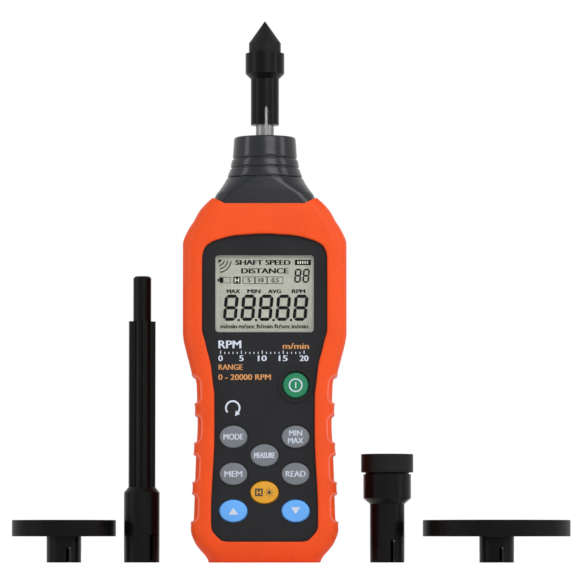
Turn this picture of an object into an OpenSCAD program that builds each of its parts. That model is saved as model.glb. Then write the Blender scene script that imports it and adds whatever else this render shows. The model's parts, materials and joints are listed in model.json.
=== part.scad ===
// Handheld contact tachometer with a cone tip fitted. Its extension rod, funnel adapter
// and two perimeter wheels stand loose beside it.
// Sizes are in millimetres. The ground is z = 0 and the display faces -Y.
// The origin is on the ground, under the axis of the spindle.

/* [Body] */
// Greatest width of the soft grip
body_w = 72.4; // [70:0.2:76]
// Depth of the instrument from its front rim to its back rim
body_d = 37; // [36.6:0.2:40]
// Height of the soft grip
grip_h = 161.2; // [160:0.2:164]
// Thickness of the soft grip round the case
grip_t = 3; // [2.8:0.1:3.2]
// Thickness of the grip under the case
sole_t = 5; // [4.8:0.1:5.4]
// Thickness of the grip where it ends against the nose
lip_t = 0.8; // [0.6:0.1:1.2]
// Radius of the grip's upright corners
corner_r = 7; // [6:0.5:7]
// Width of the front rim at its widest
rim_w = 8.6; // [8:0.2:9.4]
// Height of the front rim above the panel
rim_proud = 2.5; // [1.8:0.1:3]
// Width of the back rim at its widest
back_rim_w = 12.2; // [11.4:0.2:13]
// Height of the back rim above the back panel
back_proud = 2.5; // [2.3:0.1:2.8]
// Wall of the two case halves
wall = 2; // [1.8:0.1:2.2]
// Height of the lower edge of the panel
panel_low = 9.2; // [8.8:0.1:9.6]
// Height of the panel
panel_h = 135.7; // [134:0.1:137]
// Depth of a finger hollow in the side of the grip
hollow_depth = 1; // [0.6:0.1:1.4]
// Height of a finger hollow
hollow_h = 12.4; // [11:0.2:13.4]
// Pitch of the finger hollows
hollow_pitch = 17.4; // [16.8:0.1:18]
// Height of the lowest finger hollow's centre
hollow_low = 24; // [23:0.5:25]

/* [Nose] */
// Height of the top of the nose
nose_top = 189; // [188:0.2:191]
// Height at which the nose sits on the case
nose_low = 150; // [149.6:0.2:150.4]
// Depth of the nose at its foot
nose_d = 31.6; // [31:0.1:31.8]
// Depth of the ring grooves round the nose
groove_depth = 0.45; // [0.3:0.05:0.6]
// Height of a ring groove
groove_h = 0.7; // [0.5:0.1:0.9]
// Radius of the cap round the spindle
cap_r = 12.4; // [11.8:0.1:12.6]
// Thickness of the cap
cap_t = 1.8; // [1.5:0.1:2]

/* [Display] */
// Width of the window
window_w = 43.4; // [42:0.2:44]
// Height of the window
window_h = 33.9; // [33:0.1:34.4]
// Height of the window's centre
window_z = 118.4; // [118:0.1:118.8]
// Corner radius of the window
window_r = 1.4; // [1:0.1:2]
// How far the lens runs behind the wall all round
lens_lap = 1.5; // [1.2:0.1:1.6]
// Thickness of the lens
lens_t = 1.2; // [1:0.05:1.3]
// Depth of the lens below the panel
lens_sunk = 1; // [0.8:0.05:1.2]
// Thickness of the liquid crystal cell
lcd_t = 2.2; // [2:0.05:2.4]

/* [Keys] */
// Width of an oval key
key_w = 12.2; // [11.6:0.1:12.6]
// Height of an oval key
key_h = 9.8; // [9.4:0.1:10]
// Distance between the key columns
key_col = 13.7; // [13.5:0.1:14]
// Distance between the key rows
key_row = 8.15; // [8.1:0.05:8.3]
// Height of the lowest keys' centre
key_low = 22.7; // [22.5:0.1:23]
// Radius of the power key
power_r = 5.5; // [5.2:0.1:5.7]
// Height of the power key's centre
power_z = 78; // [77.6:0.1:78.4]
// Height of the key tops above the panel
key_proud = 1.1; // [0.9:0.05:1.3]
// Travel of a key
key_travel = 0.8; // [0.6:0.05:0.9]
// Gap between a key and its hole
key_gap = 0.45; // [0.35:0.05:0.5]
// Width of a key's flange behind the wall
flange_w = 0.9; // [0.8:0.05:1]

/* [Inside] */
// Depth of the circuit board's front below the panel
board_sunk = 6; // [5.8:0.1:6.1]
// Thickness of the circuit board
board_t = 1.6; // [1.4:0.1:1.8]
// Side of a tactile switch
switch_w = 6; // [5.5:0.1:6.2]
// Height of a tactile switch
switch_t = 1.9; // [1.8:0.05:2]
// Width of the battery block
battery_w = 26.5; // [26:0.1:26.7]
// Depth of the battery block
battery_d = 17.5; // [17.1:0.1:17.6]
// Height of the battery block without its terminals
battery_h = 46.4; // [46:0.1:46.6]
// Width of the battery bay
bay_w = 28; // [27.6:0.1:28.2]
// Height of the battery bay
bay_h = 58; // [57.6:0.1:58.4]
// Height of the battery bay's floor
bay_low = 15.5; // [15.2:0.1:15.8]
// Wall of the battery bay
bay_wall = 1.5; // [1.3:0.1:1.7]
// Thickness of the battery cover
cover_t = 2.2; // [2:0.1:2.4]
// How far the battery cover laps the edge of the bay
cover_lap = 3; // [2.6:0.1:3.2]
// Shank radius of a case screw
screw_r = 1.4; // [1.2:0.05:1.5]
// Head radius of a case screw
screw_head_r = 2.7; // [2.4:0.05:2.8]

/* [Spindle] */
// Diameter of the spindle
spindle_d = 8; // [7.8:0.05:8.1]
// Height of the spindle's top end
spindle_top = 210.3; // [209:0.1:211]
// Outer diameter of a bearing
bearing_d = 16; // [15.8:0.1:16.2]
// Width of a bearing
bearing_w = 5; // [4.6:0.1:5]
// Diameter of a bearing ball
ball_d = 2.5; // [2.3:0.05:2.5]
// Number of balls in a bearing
ball_count = 9; // [7:1:11]
// Radius of the encoder disc
disc_r = 9.5; // [9:0.1:10]
// Number of slots in the encoder disc
disc_slots = 12; // [8:1:16]

/* [Fitted tip] */
// Height of the tip holder's lower end
holder_low = 194.6; // [193.6:0.1:195]
// Diameter of the tip holder's stem
stem_d = 12.5; // [12:0.1:13]
// Height of the tip holder's stem
stem_h = 20.6; // [20:0.1:21]
// Diameter of the tip holder's collar
collar_d = 17.3; // [16.8:0.1:18]
// Height of the tip holder's collar
collar_h = 9; // [8.5:0.1:9.5]
// Width of the slot in the stem
slot_w = 2.2; // [1.8:0.1:2.4]
// Height of the slot in the stem
slot_h = 8.5; // [8:0.1:9]
// Diameter of the cone tip
cone_d = 14.2; // [13.8:0.1:14.6]
// Height of the cone tip's round foot
cone_foot_h = 4.7; // [4.4:0.1:5]
// Height of the cone
cone_h = 10; // [9:0.1:11]

/* [Funnel adapter] */
// Distance of the funnel adapter from the instrument's axis
funnel_x = 54.3; // [53:0.1:56]
// Diameter of its stem
funnel_stem_d = 15.3; // [15:0.1:15.8]
// Height of its stem
funnel_stem_h = 25.9; // [25:0.1:26.5]
// Diameter of its collar
funnel_collar_d = 21.1; // [20.6:0.1:21.6]
// Height of its collar
funnel_collar_h = 10.7; // [10:0.1:11.2]
// Diameter of the rubber cup
cup_d = 23.1; // [22.6:0.1:23.6]
// Height of the rubber cup
cup_h = 8.1; // [7.8:0.1:8.6]
// Diameter of the mouth of the cup
mouth_d = 18.4; // [18:0.1:19]

/* [Extension rod] */
// Distance of the extension rod from the instrument's axis
rod_x = -54.5; // [-56:0.1:-53]
// Height of the extension rod
rod_h = 127; // [125:0.5:130]
// Diameter of the rod's socket
rod_socket_d = 15.8; // [15:0.1:16.4]
// Height of the rod's socket
rod_socket_h = 31; // [30:0.1:32]
// Diameter over the rod's fins
fin_d = 11.9; // [11.4:0.1:12.2]
// Height of the free pin at the rod's top
rod_pin_h = 20; // [19:0.1:21]

/* [Perimeter wheels] */
// Distance of the small wheel from the instrument's axis
small_wheel_x = -89; // [-91:0.1:-87]
// Diameter of the small wheel
small_wheel_d = 46; // [45:0.1:47]
// Distance of the large wheel from the instrument's axis
large_wheel_x = 102.8; // [101:0.1:105]
// Diameter of the large wheel
large_wheel_d = 65.4; // [64:0.1:67]
// Height of a wheel's rim above the ground
rim_low = 11.6; // [11:0.1:12]
// Width of a wheel's rim
tyre_w = 7.2; // [6.8:0.1:7.6]
// Thickness of a wheel's tyre
tyre_t = 2.5; // [2.2:0.1:2.8]
// Diameter of a wheel's hub
hub_d = 15.4; // [15:0.1:15.8]

/* [Hidden] */
$fn = 48;
// Overrun of a cut past the face it opens
cut = 0.6;
// Gap all round a piece that is laid in or lifts out
ease = 0.15;
// Radial clearance of a socket on the spindle or on the rod's pin
running = 0.05;
// Thickness of one end slice of a blended stretch
slice = 0.02;
// Steps round a quarter of a blended ring
corner_steps = 9;

// Outline of the grip: shares of its height, half width and half depth, from the ground up
body_shares = [[0, 0.68, 0.82], [0.012, 0.702, 0.9], [0.034, 0.782, 0.965],
    [0.056, 0.851, 0.99], [0.09, 0.898, 1], [0.125, 0.889, 1], [0.2, 0.878, 1],
    [0.3, 0.862, 1], [0.375, 0.845, 1], [0.43, 0.85, 1], [0.485, 0.858, 1],
    [0.52, 0.892, 1], [0.563, 0.942, 1], [0.585, 0.967, 1], [0.607, 0.989, 1],
    [0.63, 1, 1], [0.872, 1, 1], [0.886, 0.987, 1], [0.9, 0.96, 1], [0.916, 0.923, 1],
    [0.937, 0.862, 1], [0.962, 0.801, 0.99], [0.982, 0.727, 0.97], [1, 0.64, 0.94]];
// Outline of the panel: shares of its height and half width, from its lower edge up
panel_shares = [[0, 0.6], [0.004, 0.69], [0.05, 0.85], [0.09, 0.852], [0.352, 0.8],
    [0.47, 0.802], [0.522, 0.83], [0.573, 0.86], [0.625, 0.924], [0.654, 0.958],
    [0.676, 0.99], [0.69, 1], [0.94, 1], [0.965, 0.985], [0.982, 0.94], [0.992, 0.86],
    [1, 0.6]];
// Nose above the grip: shares of its height, of its foot's half width and half depth,
// and of the way from the grip's corner radius to a full round
nose_shares = [[0, 1, 1, 0], [0.065, 0.964, 1, 0.12], [0.13, 0.905, 1, 0.3],
    [0.2, 0.85, 0.995, 0.5], [0.27, 0.8, 0.99, 0.72], [0.335, 0.765, 0.985, 0.88],
    [0.4, 0.735, 0.982, 0.97], [0.47, 0.7, 0.968, 0.98], [0.535, 0.685, 0.955, 0.98],
    [0.605, 0.666, 0.932, 0.98], [0.66, 0.648, 0.907, 0.98], [0.73, 0.638, 0.893, 0.98],
    [0.965, 0.616, 0.862, 0.98], [1, 0.602, 0.843, 0.98]];
// Ring grooves up the nose, as shares of its height above the grip
groove_shares = [0.34, 0.5, 0.65];

// Planes from front to back
front_y = -body_d / 2;
back_y = body_d / 2;
panel_y = front_y + rim_proud;
inner_y = panel_y + wall;
lens_y = panel_y + lens_sunk;
lcd_y = lens_y + lens_t;
lcd_back_y = lcd_y + lcd_t;
board_y = panel_y + board_sunk;
board_back_y = board_y + board_t;
parting_y = 1.5;
lug_t = 3;
back_panel_y = back_y - back_proud;
back_inner_y = back_panel_y - wall;
panel_w = body_w - 2 * rim_w;
back_panel_w = body_w - 2 * back_rim_w;

// Display stack
lens_w = window_w + 2 * lens_lap;
lens_h = window_h + 2 * lens_lap;
lcd_low = window_z - lens_h / 2 - ease;
lcd_high = window_z + lens_h / 2;
frame_wall = 0.95;
frame_low = lcd_low - frame_wall;
frame_high = lcd_high + frame_wall;
strip_h = 2;
strip_inset = 0.6;
backlight_inset = 3.2;

// Circuit board, its posts and the parts on its back
board_edge = 1;
board_top_gap = 7;
board_low = sole_t + wall + board_edge;
board_high = nose_low - board_top_gap;
board_post_r = 2.2;
board_screw_r = 0.9;
board_screw_head_r = 1.9;
board_screw_head_t = 1.2;
board_screw_bite = 3;
board_post_x = 21.6;
board_post_room = 3.25;
upper_board_post = frame_low - board_post_room - board_post_r;
lower_board_post = 66;
board_post_z = [upper_board_post, lower_board_post];
chip_w = 11;
chip_t = 1.4;
// Crystal, two capacitors, sounder and connector: width, height, thickness, and place
// across and up from the chip, all as shares of the chip's width
board_part_shares = [[0.72, 0.36, 0.22, 0.92, -0.8], [0.36, 0.54, 0.16, -0.9, -1],
    [0.36, 0.54, 0.16, -1.45, -1], [1.1, 1.1, 0.27, 0, -1.85], [0.8, 0.45, 0.3, 0, 1.15]];

// Case screws, from the back into posts of the front case
case_post_r = 3;
upper_post_x = 19.5;
lower_post_x = 20.3;
upper_post_room = 0.7;
middle_post_z = 87;
low_post_rise = 5.2;
case_post_x = [upper_post_x, lower_post_x, lower_post_x];
case_post_z = [frame_high + upper_post_room + case_post_r, middle_post_z,
    sole_t + low_post_rise];
head_post_r = screw_head_r + ease + wall / 2;
screw_sunk = 3;
screw_head_t = 1.8;
screw_bite = 5;
head_y = back_panel_y - screw_sunk;
cross_share = 0.6;

// Keys behind the wall
oval_keys = [[-1, 4], [1, 4], [0, 3], [-1, 2], [1, 2], [0, 1], [-1, 0], [1, 0]];
flange_t = 1;
plunger_r = 1.5;
plunger_ease = 0.35;
plunger_entry = 0.3;
flange_back_y = inner_y + flange_t;
switch_y = board_y - switch_t;
plunger_tip_y = switch_y + plunger_entry;
plunger_room = 0.45;
switch_floor = switch_t - plunger_entry - key_travel - plunger_room;
crown_t = 0.6;
crown_in = 0.7;
power_ring_in = 0.9;
power_ring_w = 1.2;
power_ring_t = 0.8;

// Battery bay, battery and cover
bay_behind = 5.1;
battery_ease = 0.4;
bay_floor_y = board_back_y + bay_behind;
bay_seat_y = bay_floor_y - bay_wall;
bay_high = bay_low + bay_h;
battery_low = bay_low + battery_ease;
battery_top = battery_low + battery_h;
battery_mid_y = bay_floor_y + battery_d / 2;
terminal_x = 6.35;
terminal_t = 2.1;
plug_r = 2.9;
ring_terminal_r = 4.1;
terminal_r = [plug_r, ring_terminal_r];
snap_t = 3;
snap_w = 24;
snap_d = 12;
lead_d = 1.4;
lead_x = 4;
lead_hole_r = 1.3;
cover_sunk = 0.8;
cover_seat_y = back_panel_y - cover_sunk;
cover_low = bay_low - cover_lap;
cover_head_room = 9;
cover_high = bay_high + cover_head_room;
cover_w = bay_w + 2 * cover_lap;
cover_r = 3;
cover_screw_z = bay_high + cover_head_room / 2;
cover_screw_r = 1.5;
cover_screw_head_r = 2.6;
cover_screw_head_t = 1.1;
cover_screw_l = 7;
cover_boss_r = 3.6;
pad_h = 30;

// Grip
hollow_r = 3.4;
hollow_count = 4;
lip_dip = 2.9;
lip_slope_w = 5.4;

// Nose, bearings and spindle
nose_h = nose_top - grip_h;
tube_wall = 1.5;
shoulder_t = 1;
cap_skirt = 1.2;
bearing_span = 18;
cavity_h = 8.5;
tube_r = bearing_d / 2 + tube_wall;
cap_seat = nose_top - cap_t;
upper_bearing = cap_seat - cap_skirt - bearing_w;
lower_bearing = upper_bearing - bearing_span;
tube_low = nose_low + cavity_h;
plate_t = 2.5;
plate_low = tube_low - plate_t;
cavity_w = 39;
cavity_d = 27;
cavity_r = 4;
post_y = 8;
sensor_screw_room = 0.75;
post_x = upper_post_x - head_post_r - board_screw_head_r - sensor_screw_room;
sensor_post_r = 2;
nose_screw_r = 1.4;
nose_screw_head_r = 2.4;
nose_screw_head_t = 1.6;
nose_screw_l = 8;
spindle_r = spindle_d / 2;
spindle_rise = 1.4;
spindle_low = nose_low + spindle_rise;
ring_t = 1;
ring_w = 1.3;
ball_r = ball_d / 2;
ball_path_r = (spindle_r + bearing_d / 2) / 2;
race_gap = 0.9;
inner_race_ease = 0.05;
outer_race_ease = 0.1;
cage_low_t = 0.5;
disc_rise = 2.4;
disc_low = nose_low + disc_rise;
disc_t = 0.6;
disc_slot_w = 1.2;
disc_slot_l = 2.4;
encoder_hub_r = 6.4;
encoder_hub_entry = 1.4;
encoder_hub_high = plate_low + encoder_hub_entry;
sensor_board_drop = 5.6;
sensor_board_low = nose_low - sensor_board_drop;
sensor_board_w = 32.4;
sensor_board_d = 22;
sensor_low = sensor_board_low + board_t;
sensor_w = 6;
sensor_in = 6.6;
sensor_out = 14;
sensor_web = 3;
sensor_gap = 0.8;
ribbon_w = 8;
ribbon_t = 0.5;
ribbon_out = 3;
ribbon_drop = 10;

// Tips and loose pieces
chamfer_h = 2.4;
bore_r = spindle_r + running;
tip_end_gap = 0.3;
tip_bore_h = spindle_top + tip_end_gap - holder_low;
tip_socket_r = 5;
tip_socket_h = 5;
tip_turn = 11;
funnel_bore_h = 18;
funnel_slot_w = 2.8;
funnel_slot_h = 10.3;
funnel_turn = 20;
funnel_chamfer_h = 2.5;
funnel_step_h = 0.8;
funnel_step_in = 0.9;
cup_floor_t = 1.4;
mouth_floor_d = 10.4;
rod_bore_h = 17;
rod_core_d = 7.2;
rod_slot_w = 2;
rod_slot_h = 13;
rod_turn = 35;
fin_count = 4;
fin_t = 2.2;
fin_turn = 15;
fin_top = rod_h - rod_pin_h;
pin_chamfer = 0.8;
wheel_bore_h = 13;
wheel_slot_w = 2.5;
wheel_slot_h = 7;
small_wheel_turn = 20;
large_wheel_turn = 15;
web_in = 1.6;
web_t = 2.6;
rim_t = 2;
bead_t = 1.2;
bead_in = 5;
hub_cap_h = 1;

// Half width of the grip at a height
function grip_half(z) = lookup(z / grip_h, [for (s = body_shares) [s[0], s[1]]]) * body_w / 2;
// Half width of what the grip wraps, at a height
function case_half(z) =
    grip_half(z) - lookup(z, [[nose_low, grip_t], [grip_h, lip_t]]);
// Heights between two limits, with every station of the grip's outline between them
function heights(low, high) = concat([low],
    [for (s = body_shares) if (s[0] * grip_h > low && s[0] * grip_h < high) s[0] * grip_h],
    [high]);

// Draws a face, given as x and height, as a slab between two depths
module slab(from_y, to_y) {
    translate([0, to_y, 0]) rotate([90, 0, 0]) linear_extrude(to_y - from_y) children();
}

// A round bar along the depth
module bar(x, z, r, from_y, to_y) {
    translate([x, from_y, z]) rotate([-90, 0, 0]) cylinder(r = r, h = to_y - from_y);
}

// Outline of the case, drawn in by a distance, between two heights
module case_outline(inset, low, high) {
    rows = heights(low, high);
    polygon(concat([for (z = rows) [case_half(z) - inset, z]],
        [for (i = [len(rows) - 1:-1:0]) [inset - case_half(rows[i]), rows[i]]]));
}

// Outline of a panel of some width, as tall as the front panel
module panel_outline(w) {
    rows = [for (s = panel_shares) [s[1] * w / 2, panel_low + s[0] * panel_h]];
    polygon(concat(rows,
        [for (i = [len(rows) - 1:-1:0]) [-rows[i][0], rows[i][1]]]));
}

// Rectangle with round corners, centred
module round_rectangle(w, h, r) {
    hull() for (x = [-1, 1], y = [-1, 1])
        translate([x * (w / 2 - r), y * (h / 2 - r)]) circle(r = r, $fn = 32);
}

// An ellipse of even steps
module oval(w, h) {
    steps = 40;
    polygon([for (i = [0:steps - 1])
        [cos(360 * i / steps) * w / 2, sin(360 * i / steps) * h / 2]]);
}

// Points round one level ring with round upright corners, anticlockwise from above
function ring(z, half_w, half_d, r) = [for (q = [0:3], i = [0:corner_steps])
    let (a = 90 * (q + i / corner_steps))
        [(q == 0 || q == 3 ? 1 : -1) * (half_w - r) + r * cos(a),
         (q < 2 ? 1 : -1) * (half_d - r) + r * sin(a), z]];

// A closed solid through rings that lie one above the other
module skin(rings) {
    n = len(rings[0]);
    top = n * (len(rings) - 1);
    polyhedron([for (r = rings, p = r) p], concat(
        [[for (i = [0:n - 1]) i], [for (i = [n - 1:-1:0]) top + i]],
        [for (j = [0:len(rings) - 2], i = [0:n - 1], half = [0, 1])
            let (a = j * n + i, b = j * n + (i + 1) % n)
                half == 0 ? [a, a + n, b + n] : [a, b + n, b]]));
}

// The block that the grip and its contents fill
module body_block() {
    skin([for (s = body_shares)
        ring(s[0] * grip_h, s[1] * body_w / 2, s[2] * body_d / 2, corner_r)]);
}

// The solid form of the nose, from its seat on the case to its top
module nose_block() {
    foot = case_half(grip_h) - ease;
    skin(concat([for (z = heights(nose_low, grip_h))
            ring(z, case_half(z) - ease, nose_d / 2, corner_r)],
        [for (s = nose_shares) if (s[0] > 0)
            let (half_w = s[1] * foot, half_d = s[2] * nose_d / 2)
                ring(grip_h + s[0] * nose_h, half_w, half_d,
                    corner_r + s[3] * (min(half_w, half_d) - corner_r))]));
}

// Four finger hollows down each side of the grip
module finger_hollows() {
    reach = body_d / 2 - 2 * hollow_r;
    for (side = [-1, 1], i = [0:hollow_count - 1]) {
        z = hollow_low + i * hollow_pitch;
        hull() for (y = [-reach, reach], end = [-1, 1])
            translate([side * (grip_half(z) + hollow_r - hollow_depth), y,
                z + end * (hollow_h / 2 - hollow_r)]) sphere(r = hollow_r, $fn = 20);
    }
}

// The grip round the case, before it is parted
module grip_ring() {
    difference() {
        body_block();
        slab(panel_y, back_panel_y) case_outline(0, sole_t, nose_low + cut);
        nose_block();
        finger_hollows();
        slab(front_y - cut, back_y + cut) lip_outline();
    }
}

// What is cut from the grip's top edge, front and back, so that it dips below its sides
module lip_outline() {
    flat = case_half(grip_h) - lip_slope_w;
    polygon([[-flat, grip_h - lip_dip], [flat, grip_h - lip_dip], [case_half(grip_h), grip_h],
        [case_half(grip_h), grip_h + cut], [-case_half(grip_h), grip_h + cut],
        [-case_half(grip_h), grip_h]]);
}

module front_grip() {
    color("orangered") difference() {
        grip_ring();
        slab(front_y - cut, panel_y + cut) panel_outline(panel_w);
        slab(parting_y, back_y + cut) translate([-body_w, -cut]) square([2 * body_w, 2 * grip_h]);
    }
}

module rear_grip() {
    color("orangered") difference() {
        grip_ring();
        slab(back_panel_y - cut, back_y + cut) panel_outline(back_panel_w);
        slab(front_y - cut, parting_y) translate([-body_w, -cut]) square([2 * body_w, 2 * grip_h]);
        for (x = [-1, 1]) bar(x * case_post_x[2], case_post_z[2], screw_head_r + 2 * ease,
            back_panel_y - cut, back_y + cut);
    }
}

// The place of a key, from its column and row
function key_x(col) = col * key_col;
function key_z(row) = key_low + row * key_row;

module front_case() {
    color([0.18, 0.18, 0.2]) difference() {
        union() {
            difference() {
                slab(panel_y, parting_y) case_outline(0, sole_t, nose_low);
                slab(inner_y, parting_y + cut)
                    case_outline(wall, sole_t + wall, nose_low + cut);
            }
            for (side = [-1, 1], i = [0:2]) bar(side * case_post_x[i], case_post_z[i],
                case_post_r, inner_y - cut, i == 0 ? parting_y - lug_t : parting_y);
            for (side = [-1, 1], i = [0:1])
                bar(side * board_post_x, board_post_z[i], board_post_r, inner_y - cut, board_y);
            bar(key_col, power_z, power_r + power_ring_in + power_ring_w,
                panel_y - power_ring_t, panel_y + cut);
        }
        slab(panel_y - cut, inner_y + cut) translate([0, window_z])
            round_rectangle(window_w, window_h, window_r);
        slab(lens_y, inner_y + cut) translate([0, window_z])
            round_rectangle(lens_w + 2 * ease, lens_h + 2 * ease, window_r);
        for (k = oval_keys) slab(panel_y - cut, inner_y + cut)
            translate([key_x(k[0]), key_z(k[1])]) oval(key_w + 2 * key_gap, key_h + 2 * key_gap);
        bar(key_col, power_z, power_r + key_gap, panel_y - power_ring_t - cut, inner_y + cut);
        bar(key_col, power_z, power_r + power_ring_in, panel_y - power_ring_t - cut, panel_y);
        for (side = [-1, 1], i = [0:2]) bar(side * case_post_x[i], case_post_z[i], screw_r,
            parting_y - lug_t - screw_bite, parting_y + cut);
        for (side = [-1, 1], i = [0:1]) bar(side * board_post_x, board_post_z[i],
            board_screw_r, board_y - board_screw_bite, board_y + cut);
    }
}

module rear_case() {
    color([0.18, 0.18, 0.2]) difference() {
        union() {
            difference() {
                slab(parting_y, back_panel_y) case_outline(0, sole_t, nose_low);
                slab(parting_y - cut, back_inner_y)
                    case_outline(wall, sole_t + wall, nose_low + cut);
            }
            for (side = [-1, 1], i = [0:2]) bar(side * case_post_x[i], case_post_z[i],
                head_post_r, parting_y, back_inner_y + cut);
            slab(bay_seat_y, back_inner_y + cut) translate([0, bay_low + bay_h / 2])
                square([bay_w + 2 * bay_wall, bay_h + 2 * bay_wall], center = true);
            bar(0, cover_screw_z, cover_boss_r, cover_seat_y + cover_screw_head_t
                - cover_screw_l - wall, back_inner_y + cut);
        }
        slab(bay_floor_y, back_panel_y + cut) translate([0, bay_low + bay_h / 2])
            square([bay_w, bay_h], center = true);
        slab(cover_seat_y, back_panel_y + cut)
            translate([0, (cover_low + cover_high) / 2])
                round_rectangle(cover_w + 2 * ease, cover_high - cover_low + 2 * ease,
                    cover_r + ease);
        for (side = [-1, 1], i = [0:2]) {
            bar(side * case_post_x[i], case_post_z[i], screw_r + ease, parting_y - cut,
                back_panel_y + cut);
            bar(side * case_post_x[i], case_post_z[i], screw_head_r + ease,
                head_y - screw_head_t, back_panel_y + cut);
        }
        bar(0, cover_screw_z, cover_screw_r + running, cover_seat_y + cover_screw_head_t
            - cover_screw_l - ease, cover_seat_y + cut);
        for (side = [-1, 1]) translate([side * lead_x, battery_mid_y, bay_high - cut])
            cylinder(r = lead_hole_r, h = bay_wall + 2 * cut);
    }
}

// The black nose that the grip's top edge closes on, with two lugs between the case halves
module nose_shell() {
    color([0.13, 0.13, 0.14]) difference() {
        union() {
            nose_block();
            for (side = [-1, 1]) slab(parting_y - lug_t, parting_y)
                translate([side * case_post_x[0] - case_post_r, case_post_z[0] - case_post_r])
                    square([2 * case_post_r, nose_low + cut - case_post_z[0] + case_post_r]);
        }
        translate([0, 0, nose_low - cut]) linear_extrude(tube_low - nose_low + cut)
            round_rectangle(cavity_w, cavity_d, cavity_r);
        translate([0, 0, tube_low - cut])
            cylinder(r = tube_r + ease, h = nose_top - tube_low + 2 * cut, $fn = 72);
        translate([0, 0, cap_seat])
            cylinder(r = cap_r + ease, h = cap_t + cut, $fn = 72);
        for (s = groove_shares) translate([0, 0, grip_h + s * nose_h - groove_h / 2])
            ring_groove(lookup(s, [for (n = nose_shares) [n[0], n[1]]]) * case_half(grip_h));
        for (side = [-1, 1]) {
            bar(side * case_post_x[0], case_post_z[0], screw_r + 2 * ease,
                parting_y - lug_t - cut, parting_y + cut);
            translate([side * post_x, -side * post_y, tube_low - cut])
                cylinder(r = nose_screw_r, h = nose_screw_l - plate_t + 2 * cut);
        }
    }
}

// What is cut for a ring groove round the nose
module ring_groove(r) {
    difference() {
        cylinder(r = r + 3 * groove_depth, h = groove_h, $fn = 72);
        translate([0, 0, -cut]) cylinder(r = r - groove_depth, h = groove_h + 2 * cut, $fn = 72);
    }
}

module nose_cap() {
    color([0.15, 0.15, 0.16]) difference() {
        union() {
            translate([0, 0, cap_seat]) cylinder(r = cap_r, h = cap_t);
            translate([0, 0, upper_bearing + bearing_w])
                cylinder(r = bearing_d / 2, h = cap_seat - upper_bearing - bearing_w + cut);
        }
        translate([0, 0, upper_bearing]) cylinder(r = spindle_r + 2 * race_gap,
            h = nose_top - upper_bearing + cut);
    }
}

// The tube that holds both bearings, with a plate and two posts under it
module bearing_tube() {
    color("silver") difference() {
        union() {
            translate([0, 0, plate_low]) cylinder(r = tube_r, h = cap_seat - plate_low);
            translate([0, 0, plate_low]) linear_extrude(plate_t)
                round_rectangle(cavity_w - 2 * ease, cavity_d - 2 * ease, cavity_r);
            for (side = [-1, 1]) translate([side * post_x, side * post_y, sensor_low])
                cylinder(r = sensor_post_r, h = plate_low - sensor_low + cut);
        }
        translate([0, 0, plate_low - cut])
            cylinder(r = bearing_d / 2 - shoulder_t, h = cap_seat - plate_low + 2 * cut);
        translate([0, 0, plate_low - cut])
            cylinder(r = bearing_d / 2, h = lower_bearing + bearing_w - plate_low + cut);
        translate([0, 0, upper_bearing])
            cylinder(r = bearing_d / 2, h = cap_seat - upper_bearing + cut);
        for (side = [-1, 1]) {
            translate([side * post_x, -side * post_y, plate_low - cut])
                cylinder(r = nose_screw_r + ease, h = plate_t + 2 * cut);
            translate([side * post_x, side * post_y, sensor_low - cut])
                cylinder(r = board_screw_r, h = board_screw_bite + cut);
        }
    }
}

// Cross-section of a bearing ring between two radii, with a groove for the balls
module race(r_in, r_out, groove_r) {
    rotate_extrude() difference() {
        translate([r_in, 0]) square([r_out - r_in, bearing_w]);
        translate([ball_path_r, bearing_w / 2]) circle(r = groove_r);
    }
}

module bearing_outer_rings() {
    color("lightgrey") for (z = [lower_bearing, upper_bearing]) translate([0, 0, z])
        race(ball_path_r + race_gap, bearing_d / 2, ball_r + outer_race_ease);
}

module bearing_inner_rings() {
    color("lightgrey") for (z = [lower_bearing, upper_bearing]) translate([0, 0, z])
        race(spindle_r, ball_path_r - race_gap, ball_r + inner_race_ease);
}

module bearing_balls() {
    color("white") for (z = [lower_bearing, upper_bearing], i = [0:ball_count - 1])
        rotate([0, 0, 360 * i / ball_count]) translate([ball_path_r, 0, z + bearing_w / 2])
            sphere(r = ball_r);
}

// A ring at the foot of each bearing, with a pocket bored through it for each ball
module bearing_cages() {
    color("goldenrod") for (z = [lower_bearing, upper_bearing]) difference() {
        translate([0, 0, z + cage_low_t]) rotate_extrude()
            translate([ball_path_r - race_gap + 2 * ease, 0])
                square([2 * race_gap - 4 * ease, bearing_w / 2 - cage_low_t]);
        for (i = [0:ball_count - 1]) rotate([0, 0, 360 * i / ball_count])
            translate([ball_path_r - 2 * race_gap, 0, z + bearing_w / 2]) rotate([0, 90, 0])
                cylinder(r = ball_r + inner_race_ease, h = 4 * race_gap);
    }
}

module spindle() {
    color("silver") {
        translate([0, 0, spindle_low]) cylinder(r = spindle_r, h = spindle_top - spindle_low);
        translate([0, 0, lower_bearing + bearing_w])
            cylinder(r = spindle_r + race_gap / 2, h = upper_bearing - lower_bearing - bearing_w);
    }
}

module retaining_ring() {
    color("grey") translate([0, 0, lower_bearing - ring_t]) rotate_extrude()
        translate([spindle_r, 0]) square([ring_w, ring_t]);
}

module encoder_hub() {
    color("grey") translate([0, 0, disc_low + disc_t]) rotate_extrude()
        translate([spindle_r, 0])
            square([encoder_hub_r - spindle_r, encoder_hub_high - disc_low - disc_t]);
}

module encoder_disc() {
    color("black") translate([0, 0, disc_low]) difference() {
        cylinder(r = disc_r, h = disc_t);
        translate([0, 0, -cut]) cylinder(r = spindle_r, h = disc_t + 2 * cut);
        for (i = [0:disc_slots - 1]) rotate([0, 0, 360 * i / disc_slots])
            translate([disc_r - disc_slot_l, -disc_slot_w / 2, -cut])
                cube([disc_slot_l + cut, disc_slot_w, disc_t + 2 * cut]);
    }
}

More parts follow.
